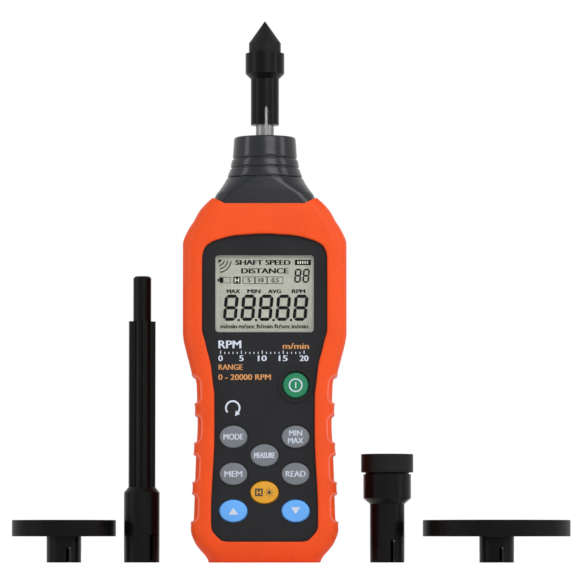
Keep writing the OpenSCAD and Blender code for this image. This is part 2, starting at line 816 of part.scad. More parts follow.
// A forked light gate that straddles the encoder disc
module optical_sensor() {
    color([0.1, 0.1, 0.1]) difference() {
        translate([sensor_in, -sensor_w / 2, sensor_low])
            cube([sensor_out - sensor_in, sensor_w, plate_low - ease - sensor_low]);
        translate([sensor_in - cut, -sensor_w / 2 - cut, disc_low - sensor_gap])
            cube([sensor_out - sensor_in - sensor_web + cut, sensor_w + 2 * cut,
                disc_t + 2 * sensor_gap]);
    }
}

module sensor_board() {
    color("darkgreen") difference() {
        translate([0, 0, sensor_board_low]) linear_extrude(board_t)
            round_rectangle(sensor_board_w, sensor_board_d, board_t);
        for (side = [-1, 1]) translate([side * post_x, side * post_y, sensor_board_low - cut])
            cylinder(r = board_screw_r + ease, h = board_t + 2 * cut);
    }
}

// A flat cable from the sensor board down to the back of the main board
module sensor_cable() {
    top = sensor_board_low;
    out = board_back_y + ribbon_out;
    color("ivory") translate([-ribbon_w / 2, 0, 0]) rotate([90, 0, 90]) linear_extrude(ribbon_w)
        polygon([[out, top], [out + ribbon_t, top], [out + ribbon_t, top - ribbon_drop],
            [board_back_y, top - ribbon_drop], [board_back_y, top - ribbon_drop + ribbon_t],
            [out, top - ribbon_drop + ribbon_t]]);
}

// A small screw with a round head, pointing along +Z with its head's seat at zero
module screw(r, l, head_r, head_t) {
    cylinder(r = r, h = l);
    translate([0, 0, -head_t]) difference() {
        cylinder(r = head_r, h = head_t);
        for (turn = [0, 90]) rotate([0, 0, turn])
            translate([-head_r * cross_share, -head_t / 4, -cut])
                cube([2 * head_r * cross_share, head_t / 2, head_t / 2 + cut]);
    }
}

module nose_screws() {
    color("dimgrey") for (side = [-1, 1]) translate([side * post_x, -side * post_y, plate_low])
        screw(nose_screw_r, nose_screw_l, nose_screw_head_r, nose_screw_head_t);
}

module case_screws() {
    color("dimgrey") for (side = [-1, 1], i = [0:2])
        translate([side * case_post_x[i], head_y - screw_head_t, case_post_z[i]])
            rotate([90, 0, 0]) screw(screw_r, head_y - screw_head_t - parting_y + lug_t
                + screw_bite, screw_head_r, screw_head_t);
}

module board_screws() {
    color("grey") {
        for (side = [-1, 1], i = [0:1])
            translate([side * board_post_x, board_back_y, board_post_z[i]])
                rotate([90, 0, 0]) screw(board_screw_r, board_t + board_screw_bite,
                    board_screw_head_r, board_screw_head_t);
        for (side = [-1, 1]) translate([side * post_x, side * post_y, sensor_board_low])
            screw(board_screw_r, board_t + board_screw_bite, board_screw_head_r,
                board_screw_head_t);
    }
}

module screen_lens() {
    color([0.75, 0.85, 0.9, 0.4]) slab(lens_y, lcd_y) translate([0, window_z])
        round_rectangle(lens_w, lens_h, window_r);
}

module lcd_panel() {
    color([0.8, 0.82, 0.74]) slab(lcd_y, lcd_back_y) translate([-lens_w / 2, lcd_low])
        square([lens_w, lcd_high - lcd_low]);
}

module lcd_frame() {
    color([0.9, 0.9, 0.88]) slab(lcd_y, board_y) difference() {
        translate([-lens_w / 2 - frame_wall, lcd_low - frame_wall])
            square([lens_w + 2 * frame_wall, lcd_high - lcd_low + 2 * frame_wall]);
        translate([-lens_w / 2, lcd_low]) square([lens_w, lcd_high - lcd_low]);
    }
}

module backlight() {
    color("white") slab(lcd_back_y, board_y)
        translate([-lens_w / 2 + backlight_inset, lcd_low + backlight_inset])
            square([lens_w - 2 * backlight_inset, lcd_high - lcd_low - 2 * backlight_inset]);
}

module zebra_strips() {
    color("salmon") for (z = [lcd_low + strip_inset, lcd_high - strip_inset - strip_h])
        slab(lcd_back_y, board_y) translate([-lens_w / 2 + strip_inset, z])
            square([lens_w - 2 * strip_inset, strip_h]);
}

module main_board() {
    color("darkgreen") slab(board_y, board_back_y) difference() {
        case_outline(wall + board_edge, board_low, board_high);
        for (side = [-1, 1], i = [0:2]) translate([side * case_post_x[i], case_post_z[i]])
            circle(r = case_post_r + 2 * ease);
        for (side = [-1, 1], i = [0:1]) translate([side * board_post_x, board_post_z[i]])
            circle(r = board_screw_r + ease);
    }
}

module controller_chip() {
    color([0.1, 0.1, 0.1]) slab(board_back_y, board_back_y + chip_t)
        translate([-chip_w / 2, window_z - chip_w / 2]) square([chip_w, chip_w]);
}

module board_parts() {
    color("tan") for (p = board_part_shares * chip_w)
        slab(board_back_y, board_back_y + p[2]) translate([p[3], window_z + p[4]])
            square([p[0], p[1]], center = true);
}

module one_switch(x, z) {
    difference() {
        slab(switch_y, board_y) translate([x - switch_w / 2, z - switch_w / 2])
            square([switch_w, switch_w]);
        bar(x, z, plunger_r + plunger_ease, switch_y - cut, board_y - switch_floor);
    }
}

module tactile_switches() {
    color([0.25, 0.25, 0.27]) {
        for (k = oval_keys) one_switch(key_x(k[0]), key_z(k[1]));
        one_switch(key_col, power_z);
    }
}

// A key with a crowned top, a flange behind the wall and a plunger into its switch
module key(x, z, w, h) {
    top_y = panel_y - key_proud;
    hull() {
        slab(top_y, top_y + slice) translate([x, z]) oval(w - 2 * crown_in, h - 2 * crown_in);
        slab(top_y + crown_t, top_y + crown_t + slice) translate([x, z]) oval(w, h);
    }
    slab(top_y + crown_t, inner_y + slice) translate([x, z]) oval(w, h);
    slab(inner_y, flange_back_y) translate([x, z])
        oval(w + 2 * (key_gap + flange_w), h + 2 * (key_gap + flange_w));
    bar(x, z, plunger_r, flange_back_y - slice, plunger_tip_y);
}

module oval_key(col, row) {
    key(key_x(col), key_z(row), key_w, key_h);
}

module power_key() {
    color("seagreen") key(key_col, power_z, 2 * power_r, 2 * power_r);
}

module mode_key() {
    color("grey") oval_key(-1, 4);
}

module min_max_key() {
    color("grey") oval_key(1, 4);
}

module measure_key() {
    color("grey") oval_key(0, 3);
}

module memory_key() {
    color("grey") oval_key(-1, 2);
}

module read_key() {
    color("grey") oval_key(1, 2);
}

module hold_light_key() {
    color("orange") oval_key(0, 1);
}

module up_key() {
    color("cornflowerblue") oval_key(-1, 0);
}

module down_key() {
    color("cornflowerblue") oval_key(1, 0);
}

module battery() {
    color("dimgrey") slab(bay_floor_y, bay_floor_y + battery_d)
        translate([-battery_w / 2, battery_low]) square([battery_w, battery_h]);
}

module battery_terminals() {
    color("silver") for (i = [0, 1])
        translate([terminal_x * (2 * i - 1), battery_mid_y, battery_top])
            cylinder(r = terminal_r[i], h = terminal_t);
}

module battery_snap() {
    color([0.1, 0.1, 0.1]) translate([-snap_w / 2, battery_mid_y - snap_d / 2,
        battery_top + terminal_t]) cube([snap_w, snap_d, snap_t]);
}

// Two wires from the battery snap, through the top of the bay, to the board
module battery_leads() {
    low = battery_top + terminal_t + snap_t + lead_d / 2;
    bend = bay_high + bay_wall + 2 * lead_d;
    for (side = [-1, 1]) color(side > 0 ? "firebrick" : "black") {
        route = [[lead_x, battery_mid_y, low], [lead_x, battery_mid_y, bend],
            [lead_x, battery_mid_y - 4 * lead_d, bend + 2 * lead_d],
            [lead_x, board_back_y + 3 * lead_d, bend + 3 * lead_d],
            [lead_x, board_back_y + lead_d / 2, bend + 4 * lead_d]];
        for (i = [0:len(route) - 2]) hull() for (p = [route[i], route[i + 1]])
            translate([side * p[0], p[1], p[2]]) sphere(r = lead_d / 2, $fn = 14);
    }
}

module battery_cover() {
    color([0.16, 0.16, 0.18]) difference() {
        slab(cover_seat_y, cover_seat_y + cover_t)
            translate([0, (cover_low + cover_high) / 2])
                round_rectangle(cover_w, cover_high - cover_low, cover_r);
        bar(0, cover_screw_z, cover_screw_r, cover_seat_y - cut, back_y + cut);
        bar(0, cover_screw_z, cover_screw_head_r + ease,
            cover_seat_y + cover_t - cover_screw_head_t, back_y + cut);
    }
}

module cover_pad() {
    color("black") slab(bay_floor_y + battery_d, cover_seat_y)
        translate([-battery_w / 2, battery_low + (battery_h - pad_h) / 2])
            square([battery_w, pad_h]);
}

module cover_screw() {
    color("dimgrey") translate([0, cover_seat_y + cover_t - cover_screw_head_t, cover_screw_z])
        rotate([90, 0, 0]) screw(cover_screw_r, cover_screw_l, cover_screw_head_r,
            cover_screw_head_t);
}

// A split sleeve that pushes on to the spindle, with a collar that carries a tip
module drive_holder(d, h, top_d, top_h, bevel_h, bore_h, gap_w, gap_h, turn) {
    difference() {
        union() {
            cylinder(d = d, h = h);
            translate([0, 0, h]) cylinder(d1 = d, d2 = top_d, h = bevel_h);
            translate([0, 0, h + bevel_h]) cylinder(d = top_d, h = top_h);
        }
        translate([0, 0, -cut]) cylinder(r = bore_r, h = bore_h + cut);
        translate([0, 0, h + bevel_h + top_h - tip_socket_h])
            cylinder(r = tip_socket_r, h = tip_socket_h + cut);
        rotate([0, 0, turn]) slot(d, gap_w, gap_h);
    }
}

// A slot up through both walls of a sleeve, with a round top
module slot(d, gap_w, gap_h) {
    translate([-gap_w / 2, -d / 2 - cut, -cut])
        cube([gap_w, d + 2 * cut, gap_h - gap_w / 2 + cut]);
    translate([0, -d / 2 - cut, gap_h - gap_w / 2]) rotate([-90, 0, 0])
        cylinder(r = gap_w / 2, h = d + 2 * cut);
}

module tip_holder() {
    color([0.14, 0.14, 0.15]) translate([0, 0, holder_low])
        drive_holder(stem_d, stem_h, collar_d, collar_h, chamfer_h, tip_bore_h, slot_w,
            slot_h, tip_turn);
}

module cone_tip() {
    top = holder_low + stem_h + chamfer_h + collar_h;
    color([0.09, 0.09, 0.11]) translate([0, 0, top]) {
        translate([0, 0, -tip_socket_h]) cylinder(r = tip_socket_r, h = tip_socket_h + cut);
        cylinder(d = cone_d, h = cone_foot_h);
        translate([0, 0, cone_foot_h]) cylinder(d1 = cone_d, d2 = 2 * slice, h = cone_h);
    }
}

module funnel_holder() {
    color([0.1, 0.1, 0.1]) translate([funnel_x, 0, 0])
        drive_holder(funnel_stem_d, funnel_stem_h, funnel_collar_d, funnel_collar_h,
            funnel_chamfer_h, funnel_bore_h, funnel_slot_w, funnel_slot_h, funnel_turn);
}

module funnel_tip() {
    seat = funnel_stem_h + funnel_chamfer_h + funnel_collar_h;
    rim = seat + funnel_step_h + cup_h;
    color([0.07, 0.07, 0.07]) translate([funnel_x, 0, 0]) difference() {
        union() {
            translate([0, 0, seat - tip_socket_h]) cylinder(r = tip_socket_r, h = tip_socket_h);
            translate([0, 0, seat])
                cylinder(d = funnel_collar_d - 2 * funnel_step_in, h = funnel_step_h);
            translate([0, 0, seat + funnel_step_h]) cylinder(d = cup_d, h = cup_h);
        }
        translate([0, 0, seat + cup_floor_t])
            cylinder(d1 = mouth_floor_d, d2 = mouth_d, h = rim - seat - cup_floor_t);
        translate([0, 0, rim]) cylinder(d = mouth_d, h = cut);
    }
}

module extension_rod() {
    bevel_top = rod_socket_h + chamfer_h;
    color([0.09, 0.09, 0.09]) translate([rod_x, 0, 0]) difference() {
        union() {
            cylinder(d = rod_socket_d, h = rod_socket_h);
            translate([0, 0, rod_socket_h])
                cylinder(d1 = rod_socket_d, d2 = fin_d, h = chamfer_h);
            translate([0, 0, bevel_top - slice])
                cylinder(d = rod_core_d, h = fin_top - bevel_top + 2 * slice);
            translate([0, 0, fin_top])
                cylinder(r = spindle_r, h = rod_pin_h - pin_chamfer);
            translate([0, 0, rod_h - pin_chamfer])
                cylinder(r1 = spindle_r, r2 = spindle_r - pin_chamfer, h = pin_chamfer);
            intersection() {
                translate([0, 0, bevel_top - slice])
                    cylinder(d = fin_d, h = fin_top - bevel_top + slice);
                for (i = [0:fin_count - 1]) rotate([0, 0, fin_turn + 360 * i / fin_count])
                    translate([0, -fin_t / 2, 0]) cube([fin_d, fin_t, rod_h]);
            }
        }
        translate([0, 0, -cut]) cylinder(r = bore_r, h = rod_bore_h + cut);
        rotate([0, 0, rod_turn]) slot(rod_socket_d, rod_slot_w, rod_slot_h);
    }
}

// A hub with a blind split bore, a thin web and a rim with two beads
module wheel_hub(d, turn) {
    seat_r = d / 2 - tyre_t;
    web_low = rim_low + web_in;
    difference() {
        union() {
            cylinder(d = hub_d, h = web_low + web_t + hub_cap_h);
            translate([0, 0, web_low]) cylinder(r = seat_r, h = web_t);
            for (r = [seat_r, seat_r - bead_in]) translate([0, 0, rim_low])
                rotate_extrude() translate([r - (r == seat_r ? rim_t : bead_t), 0])
                    square([r == seat_r ? rim_t : bead_t, r == seat_r ? tyre_w : web_in + web_t]);
        }
        translate([0, 0, -cut]) cylinder(r = bore_r, h = wheel_bore_h + cut);
        rotate([0, 0, turn]) slot(hub_d, wheel_slot_w, wheel_slot_h);
    }
}

module wheel_tyre(d) {
    translate([0, 0, rim_low]) rotate_extrude() translate([d / 2 - tyre_t, 0])
        square([tyre_t, tyre_w]);
}

module small_wheel_hub() {
    color([0.1, 0.1, 0.1]) translate([small_wheel_x, 0, 0])
        wheel_hub(small_wheel_d, small_wheel_turn);
}

module small_wheel_tyre() {
    color([0.06, 0.06, 0.06]) translate([small_wheel_x, 0, 0]) wheel_tyre(small_wheel_d);
}

module large_wheel_hub() {
    color([0.1, 0.1, 0.1]) translate([large_wheel_x, 0, 0])
        wheel_hub(large_wheel_d, large_wheel_turn);
}

module large_wheel_tyre() {
    color([0.06, 0.06, 0.06]) translate([large_wheel_x, 0, 0]) wheel_tyre(large_wheel_d);
}

front_case();
rear_case();
front_grip();
rear_grip();
nose_shell();
nose_cap();
screen_lens();
lcd_frame();
lcd_panel();
backlight();
zebra_strips();
main_board();
controller_chip();
board_parts();
tactile_switches();
power_key();
mode_key();
min_max_key();
measure_key();
memory_key();
read_key();
hold_light_key();
up_key();
down_key();
bearing_tube();
bearing_outer_rings();
bearing_inner_rings();
bearing_balls();
bearing_cages();
spindle();
retaining_ring();
encoder_hub();
encoder_disc();
optical_sensor();
sensor_board();
sensor_cable();
nose_screws();
tip_holder();
cone_tip();
battery();
battery_terminals();
battery_snap();
battery_leads();
battery_cover();
cover_pad();
cover_screw();
case_screws();
board_screws();
funnel_holder();
funnel_tip();
extension_rod();
small_wheel_hub();
small_wheel_tyre();
large_wheel_hub();
large_wheel_tyre();
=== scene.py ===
import json
import math

import bmesh
import bpy
import numpy as np
from bpy.props import FloatProperty, FloatVectorProperty, PointerProperty
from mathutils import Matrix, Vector

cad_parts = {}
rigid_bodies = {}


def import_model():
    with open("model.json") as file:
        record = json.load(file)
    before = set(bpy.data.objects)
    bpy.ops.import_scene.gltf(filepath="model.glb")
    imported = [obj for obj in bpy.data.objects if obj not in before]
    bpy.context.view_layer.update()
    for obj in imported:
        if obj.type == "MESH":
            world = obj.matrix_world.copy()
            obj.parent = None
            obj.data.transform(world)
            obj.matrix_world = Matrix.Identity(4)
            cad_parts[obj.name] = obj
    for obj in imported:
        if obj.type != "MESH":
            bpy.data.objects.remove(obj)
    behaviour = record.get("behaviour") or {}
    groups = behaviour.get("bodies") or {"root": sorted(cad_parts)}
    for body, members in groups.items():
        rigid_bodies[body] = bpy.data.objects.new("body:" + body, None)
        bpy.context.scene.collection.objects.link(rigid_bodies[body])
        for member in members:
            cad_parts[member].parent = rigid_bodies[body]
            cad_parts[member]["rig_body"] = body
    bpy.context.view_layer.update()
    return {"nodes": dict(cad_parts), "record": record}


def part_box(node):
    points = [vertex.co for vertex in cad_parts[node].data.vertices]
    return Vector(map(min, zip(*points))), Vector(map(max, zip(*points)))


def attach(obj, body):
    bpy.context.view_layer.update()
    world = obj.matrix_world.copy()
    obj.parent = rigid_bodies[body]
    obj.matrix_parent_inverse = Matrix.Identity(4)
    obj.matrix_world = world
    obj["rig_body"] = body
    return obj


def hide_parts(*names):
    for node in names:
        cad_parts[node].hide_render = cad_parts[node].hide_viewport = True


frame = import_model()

bl_info = {
    "name": "Contact Tachometer",
    "version": (1, 0, 0),
    "blender": (4, 5, 0),
    "location": "View3D > Sidebar > Tachometer",
    "description": "Builds the finished surfaces of a handheld contact tachometer",
    "category": "Add Mesh",
}

# Lengths here are in millimetres, as on a drawing, and become metres in the meshes
MM = 0.001
# Points that lie closer together than this become one
WELD = 0.002


def span(node):
    """Lowest and highest corner of a node of the frame, in millimetres."""
    low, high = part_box(node)
    return low / MM, high / MM


# What the frame gives
GRIP_LOW, GRIP_HIGH = span("front_grip")
NOSE_LOW, NOSE_HIGH = span("nose_shell")
LENS_FRONT = span("screen_lens")[0].y
GRIP_H = GRIP_HIGH.z
BODY_D = span("rear_grip")[1].y - GRIP_LOW.y

# Case and grip: the panels, the rims beside them and the four finger hollows of a side
BODY_W = 72.4
CORNER_R = 7.0
PARTING_Y = 1.5
PANEL_Y = -16.0
BACK_PANEL_Y = 16.0
PANEL_LOW = 9.2
PANEL_H = 135.7
PANEL_TOP = PANEL_LOW + PANEL_H
ARCH_Z = 143.9
RIM_W, BACK_RIM_W = 8.6, 12.2
HOLLOW_PITCH, HOLLOW_LOW, HOLLOW_COUNT = 17.4, 24.0, 4
HOLLOW_ROUND = 3.4
HOLLOW_TURN = math.radians(36)
BEAD_OUT = 0.25

# Nose: its seat on the case, the openings for its cap and tube, the room inside it, and the
# two lugs that the case halves hold, each with half a hole for a screw
NOSE_SEAT = 150.0
NOSE_FOOT = 22.25
GROOVE_SHARES = (0.34, 0.5, 0.65)
NOSE_SOFT = 0.9
CAP_R, CAP_SEAT = 12.55, 1.8
TUBE_R = 9.65
ROOM_W, ROOM_D, ROOM_H, ROOM_R = 19.5, 13.5, 8.5, 4
LUG_X, LUG_HALF, LUG_LOW = 19.5, 3.3, 138.5
LUG_FRONT, LUG_BACK = -0.45, 1.45
LUG_HOLE_Z, LUG_HOLE_R = 141.5, 1.6

# Window and display
WINDOW_W, WINDOW_H = 43.4, 33.9
WINDOW_X = -WINDOW_W / 2
WINDOW_TOP = 135.35
INK_Y, INK_BACK = -13.85, -13.8
DIGIT_W, DIGIT_H, DIGIT_STEP = 6.2, 11.6, 7.7

# Keys: the places along Y of a key's crown, flange and plunger, and the widths of its steps
KEY_TOP_Y = -17.1
KEY_INNER_Y = -14.0
KEY_BACK_Y = -13.0
KEY_TIP_Y = -11.6
KEY_SHOULDER, KEY_STEP, KEY_SOFT = 0.9, 0.28, 0.62
KEY_FLANGE = 1.35
PLUNGER_R, PLUNGER_TIP_R, PLUNGER_TAPER = 1.5, 1.3, 0.2
KEYS = (("power_key", "key_green"), ("mode_key", "key_grey"), ("min_max_key", "key_grey"),
        ("measure_key", "key_grey"), ("memory_key", "key_grey"), ("read_key", "key_grey"),
        ("hold_light_key", "key_amber"), ("up_key", "key_blue"), ("down_key", "key_blue"))
CASE = (("front_case", "case_plastic"), ("rear_case", "case_plastic"),
        ("battery_cover", "case_plastic"), ("nose_cap", "nose_plastic"))
LOOSE = (("tip_holder", "holder_plastic"), ("cone_tip", "tip_rubber"),
         ("funnel_holder", "holder_plastic"), ("funnel_tip", "tip_rubber"),
         ("extension_rod", "holder_plastic"), ("small_wheel_hub", "holder_plastic"),
         ("small_wheel_tyre", "tyre_rubber"), ("large_wheel_hub", "holder_plastic"),
         ("large_wheel_tyre", "tyre_rubber"))

# Outline of the grip: shares of its height, half width and half depth, from the ground up
BODY_SHARES = [
    (0, 0.68, 0.82), (0.012, 0.702, 0.9), (0.034, 0.782, 0.965), (0.056, 0.851, 0.99),
    (0.09, 0.898, 1), (0.125, 0.889, 1), (0.2, 0.878, 1), (0.3, 0.862, 1), (0.375, 0.845, 1),
    (0.43, 0.85, 1), (0.485, 0.858, 1), (0.52, 0.892, 1), (0.563, 0.942, 1), (0.585, 0.967, 1),
    (0.607, 0.989, 1), (0.63, 1, 1), (0.872, 1, 1), (0.886, 0.987, 1), (0.9, 0.96, 1),
    (0.916, 0.923, 1), (0.937, 0.862, 1), (0.962, 0.801, 0.99), (0.982, 0.727, 0.97),
    (1, 0.64, 0.94),
]
# Outline of the panel: shares of its height and half width, from its lower edge up
PANEL_SHARES = [
    (0, 0.6), (0.004, 0.69), (0.05, 0.85), (0.09, 0.852), (0.352, 0.8), (0.47, 0.802),
    (0.522, 0.83), (0.573, 0.86), (0.625, 0.924), (0.654, 0.958), (0.676, 0.99), (0.69, 1),
    (0.915, 1), (0.937, 0.988), (0.958, 0.942), (0.972, 0.855), (0.9845, 0.685),
    (0.994, 0.48), (1, 0.08),
]
# Nose above the grip: shares of its height, of its foot's half width and half depth,
# and of the way from the corner radius to a full round
NOSE_SHARES = [
    (0, 1, 1, 0), (0.065, 0.964, 1, 0.12), (0.13, 0.905, 1, 0.3), (0.2, 0.85, 0.995, 0.5),
    (0.27, 0.8, 0.99, 0.72), (0.335, 0.765, 0.985, 0.88), (0.4, 0.735, 0.982, 0.97),
    (0.47, 0.7, 0.968, 0.98), (0.535, 0.685, 0.955, 0.98), (0.605, 0.666, 0.932, 0.98),
    (0.66, 0.648, 0.907, 0.98), (0.73, 0.638, 0.893, 0.98), (0.965, 0.616, 0.862, 0.98),
    (1, 0.602, 0.843, 0.98),
]


def tint(name, description, default):
    """A colour that a user may change."""
    return FloatVectorProperty(name=name, description=description, subtype="COLOR", size=3,
                               default=default, min=0, max=1)


def amount(name, description, default, low, high, unit="NONE"):
    """A number that a user may change between a low and a high one."""
    return FloatProperty(name=name, description=description, default=default, min=low,
                         max=high, unit=unit)


class TachometerColours(bpy.types.PropertyGroup):
    """Colours of the finishes."""

    grip: tint("Grip", "Soft orange grip", (0.84, 0.08, 0.0095))
    panel: tint("Panel", "Charcoal case and panel", (0.0095, 0.0099, 0.0118))
    nose: tint("Nose", "Black nose", (0.0075, 0.0085, 0.012))
    key_grey: tint("Grey keys", "Function keys", (0.15, 0.168, 0.188))
    key_green: tint("Power key", "Green power key", (0.009, 0.2, 0.085))
    key_amber: tint("Hold key", "Amber hold and light key", (0.7, 0.33, 0.012))
    key_blue: tint("Arrow keys", "Blue arrow keys", (0.12, 0.4, 0.9))
    cell: tint("Display", "Ground of the display", (0.9, 0.94, 0.79))
    black: tint("Loose pieces", "Black of the holders, rod and wheels",
                (0.0024, 0.0024, 0.0027))
    steel: tint("Spindle", "Turned steel of the spindle", (0.19, 0.19, 0.195))


class TachometerSizes(bpy.types.PropertyGroup):
    """Small sizes of the finished surfaces, in millimetres."""

    lip_r: amount("Grip lip", "Radius of the grip's edge round the panel", 0.9, 0.3, 1.5)
    hollow_depth: amount("Hollow depth", "Depth of a finger hollow", 1.0, 0.3, 1.2)
    hollow_h: amount("Hollow height", "Height of a finger hollow", 12.4, 10, 14)
    hollow_bead: amount("Hollow bead", "Height of the bead round a finger hollow", 0.4, 0, 0.6)
    row_step: amount("Row step", "Spacing of the grip's rows beside the hollows", 0.36, 0.25, 1)
    groove_depth: amount("Groove depth", "Depth of a ring groove in the nose", 0.75, 0.2, 0.9)
    key_dome: amount("Key dome", "Rise of a key's top over its edge", 0.22, 0, 0.5)
    edge: amount("Edge rounding", "Width of the rounding on moulded edges", 0.22, 0.05, 0.5)
    print_t: amount("Print thickness", "Thickness of the printed ink", 0.03, 0.01, 0.1)
    stroke: amount("Display stroke", "Width of a bar of the display's digits", 1.45, 0.5, 1.6)


class TachometerStage(bpy.types.PropertyGroup):
    """Camera and light; lengths are in millimetres."""

    distance: amount("Camera distance", "From the camera to the instrument", 1850, 500, 4000)
    eye_x: amount("Camera offset", "Camera to the right of the spindle", 11.2, -100, 100)
    eye_z: amount("Camera height", "Camera above the floor", 8, 1, 500)
    aim_z: amount("Aim height", "Height at the middle of the picture", 121, 0, 300)
    lens: amount("Lens", "Focal length on a 36 mm sensor", 258.6, 50, 500, "CAMERA")
    key_power: amount("Key light", "Power of the large front light", 4.7, 0, 200, "POWER")
    side_power: amount("Side light", "Power of the tall side lights", 1.15, 0, 100, "POWER")
    fill: amount("Fill", "Strength of the light from all round", 0.46, 0, 2)
    floor_glow: amount("Floor glow", "How much paler the camera sees the floor than it is lit",
                       0.6, 0, 1)


# Meshes

def smooth_lookup(table, x, column=1):
    """Value of a column at x on a smooth curve through a table's rows, without overshoot."""
    xs = np.array([row[0] for row in table], float)
    ys = np.array([row[column] for row in table], float)
    slopes = np.diff(ys) / np.diff(xs)
    tangents = np.zeros(len(xs))
    for i in range(1, len(xs) - 1):
        if slopes[i - 1] * slopes[i] > 0:
            tangents[i] = 2 * slopes[i - 1] * slopes[i] / (slopes[i - 1] + slopes[i])
    tangents[0], tangents[-1] = slopes[0], slopes[-1]
    x = min(max(x, xs[0]), xs[-1])
    i = min(max(int(np.searchsorted(xs, x)) - 1, 0), len(xs) - 2)
    h = xs[i + 1] - xs[i]
    t = (x - xs[i]) / h
    return ((2 * t ** 3 - 3 * t ** 2 + 1) * ys[i] + (t ** 3 - 2 * t ** 2 + t) * h * tangents[i]
            + (3 * t ** 2 - 2 * t ** 3) * ys[i + 1] + (t ** 3 - t ** 2) * h * tangents[i + 1])


def half_width(z):
    """Half width of the grip at a height."""
    return smooth_lookup(BODY_SHARES, z / GRIP_H) * BODY_W / 2


def half_depth(z):
    """Half depth of the grip at a height."""
    return smooth_lookup(BODY_SHARES, z / GRIP_H, 2) * BODY_D / 2


def corner_depth(x, half_w, flat):
    """Depth at x of a level section that is flat in front, with rounded upright corners."""
    over = abs(x) - (half_w - CORNER_R)
    if over <= 0:
        return flat
    return flat - CORNER_R + math.sqrt(max(CORNER_R ** 2 - min(over, CORNER_R) ** 2, 0))


def face_depth(x, z):
    """Distance of the grip's face from its middle plane."""
    return corner_depth(x, half_width(z), half_depth(z))


def panel_half(z, width):
    """Half width at a height of a panel that is as tall as the front panel."""
    return smooth_lookup(PANEL_SHARES, (z - PANEL_LOW) / PANEL_H) * width / 2


def smooth_step(t):
    """Eases a share from 0 to 1."""
    t = min(max(t, 0), 1)
    return t * t * (3 - 2 * t)


def add_piece(name, mesh, material, body, replaces=(), crease=38):
    """Makes a mesh in metres a finished piece that rides on a body."""
    piece = bpy.data.objects.new(name, mesh)
    bpy.context.scene.collection.objects.link(piece)
    mesh.materials.clear()
    mesh.materials.append(material)
    for face in mesh.polygons:
        face.use_smooth = True
        face.material_index = 0
    mesh.set_sharp_from_angle(angle=math.radians(crease))
    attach(piece, body)
    if replaces:
        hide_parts(*replaces)
    return piece


def add_print(name, lots, ink, body):
    """Makes printed lots of points and faces one flat piece on a body."""
    add_piece(name, outward_mesh(name, *together(lots)), finish(ink), body, (), 30)


def outward_mesh(name, points, faces):
    """A mesh in metres from points in millimetres, welded and with its faces outwards."""
    mesh = bpy.data.meshes.new(name)
    mesh.from_pydata([tuple(c * MM for c in p) for p in points], [], faces)
    bm = bmesh.new()
    bm.from_mesh(mesh)
    bmesh.ops.remove_doubles(bm, verts=bm.verts, dist=WELD * MM)
    bmesh.ops.dissolve_degenerate(bm, edges=bm.edges, dist=WELD * MM)
    bmesh.ops.recalc_face_normals(bm, faces=bm.faces)
    bm.to_mesh(mesh)
    bm.free()
    return mesh


def swept_faces(rows, columns):
    """Faces of a grid that closes on itself both ways."""
    return [(i * columns + j, i * columns + (j + 1) % columns,
             (i + 1) % rows * columns + (j + 1) % columns, (i + 1) % rows * columns + j)
            for i in range(rows) for j in range(columns)]


def band_faces(start, end, count):
    """Faces between two closed rings of points, by the index of each one's first point."""
    return [(start + j, start + (j + 1) % count, end + (j + 1) % count, end + j)
            for j in range(count)]


def capped_faces(rows, columns):
    """Faces over rows of rings, closed by the first point below and the last above."""
    last = rows * columns + 1
    faces = [(0, 1 + (j + 1) % columns, 1 + j) for j in range(columns)]
    for i in range(rows - 1):
        faces += band_faces(1 + i * columns, 1 + (i + 1) * columns, columns)
    end = last - columns
    faces += [(last, end + j, end + (j + 1) % columns) for j in range(columns)]
    return faces


def prism(outline, low_y, high_y):
    """Points and faces of an upright plate, from an outline in x and z."""
    n = len(outline)
    points = [(x, y, z) for y in (low_y, high_y) for x, z in outline]
    faces = [tuple(range(n)), tuple(range(2 * n - 1, n - 1, -1))]
    faces += [(i, i + n, (i + 1) % n + n, (i + 1) % n) for i in range(n)]
    return points, faces


def together(parts):
    """Joins several lots of points and faces into one."""
    points, faces = [], []
    for part_points, part_faces in parts:
        start = len(points)
        points += part_points
        faces += [tuple(i + start for i in face) for face in part_faces]
    return points, faces


def circle_outline(x, z, r, sides):
    """Outline of a circle."""
    return [(x + r * math.cos(math.tau * i / sides), z + r * math.sin(math.tau * i / sides))
            for i in range(sides)]


def ring_band(x, z, r, width, low_y, high_y, start=0.0, end=math.tau, sides=48):
    """Points and faces of a flat band along a circle or an arc."""
    closed = end - start > math.tau - 0.01
    count = sides if closed else sides + 1
    turns = [start + (end - start) * i / sides for i in range(count)]
    points = [(x + q * math.cos(a), y, z + q * math.sin(a)) for a in turns
              for q, y in ((r - width / 2, low_y), (r + width / 2, low_y),
                           (r + width / 2, high_y), (r - width / 2, high_y))]
    faces = []
    for i in range(count if closed else count - 1):
        k, m = 4 * i, 4 * ((i + 1) % count)
        faces += [(k + j, k + (j + 1) % 4, m + (j + 1) % 4, m + j) for j in range(4)]
    if not closed:
        last = 4 * (count - 1)
        faces += [(3, 2, 1, 0), (last, last + 1, last + 2, last + 3)]
    return points, faces


def box_plate(x, z, w, h, low_y, high_y):
    """Points and faces of a plain rectangular plate, centred."""
    return prism([(x - w / 2, z - h / 2), (x + w / 2, z - h / 2), (x + w / 2, z + h / 2),
                  (x - w / 2, z + h / 2)], low_y, high_y)


def frame_band(x, z, w, h, stroke, low_y, high_y):
    """Points and faces of the four bars of a rectangular frame."""
    return together([
        box_plate(x, z + side * (h - stroke) / 2, w, stroke, low_y, high_y) for side in (-1, 1)
    ] + [
        box_plate(x + side * (w - stroke) / 2, z, stroke, h - 2 * stroke, low_y, high_y)
        for side in (-1, 1)
    ])


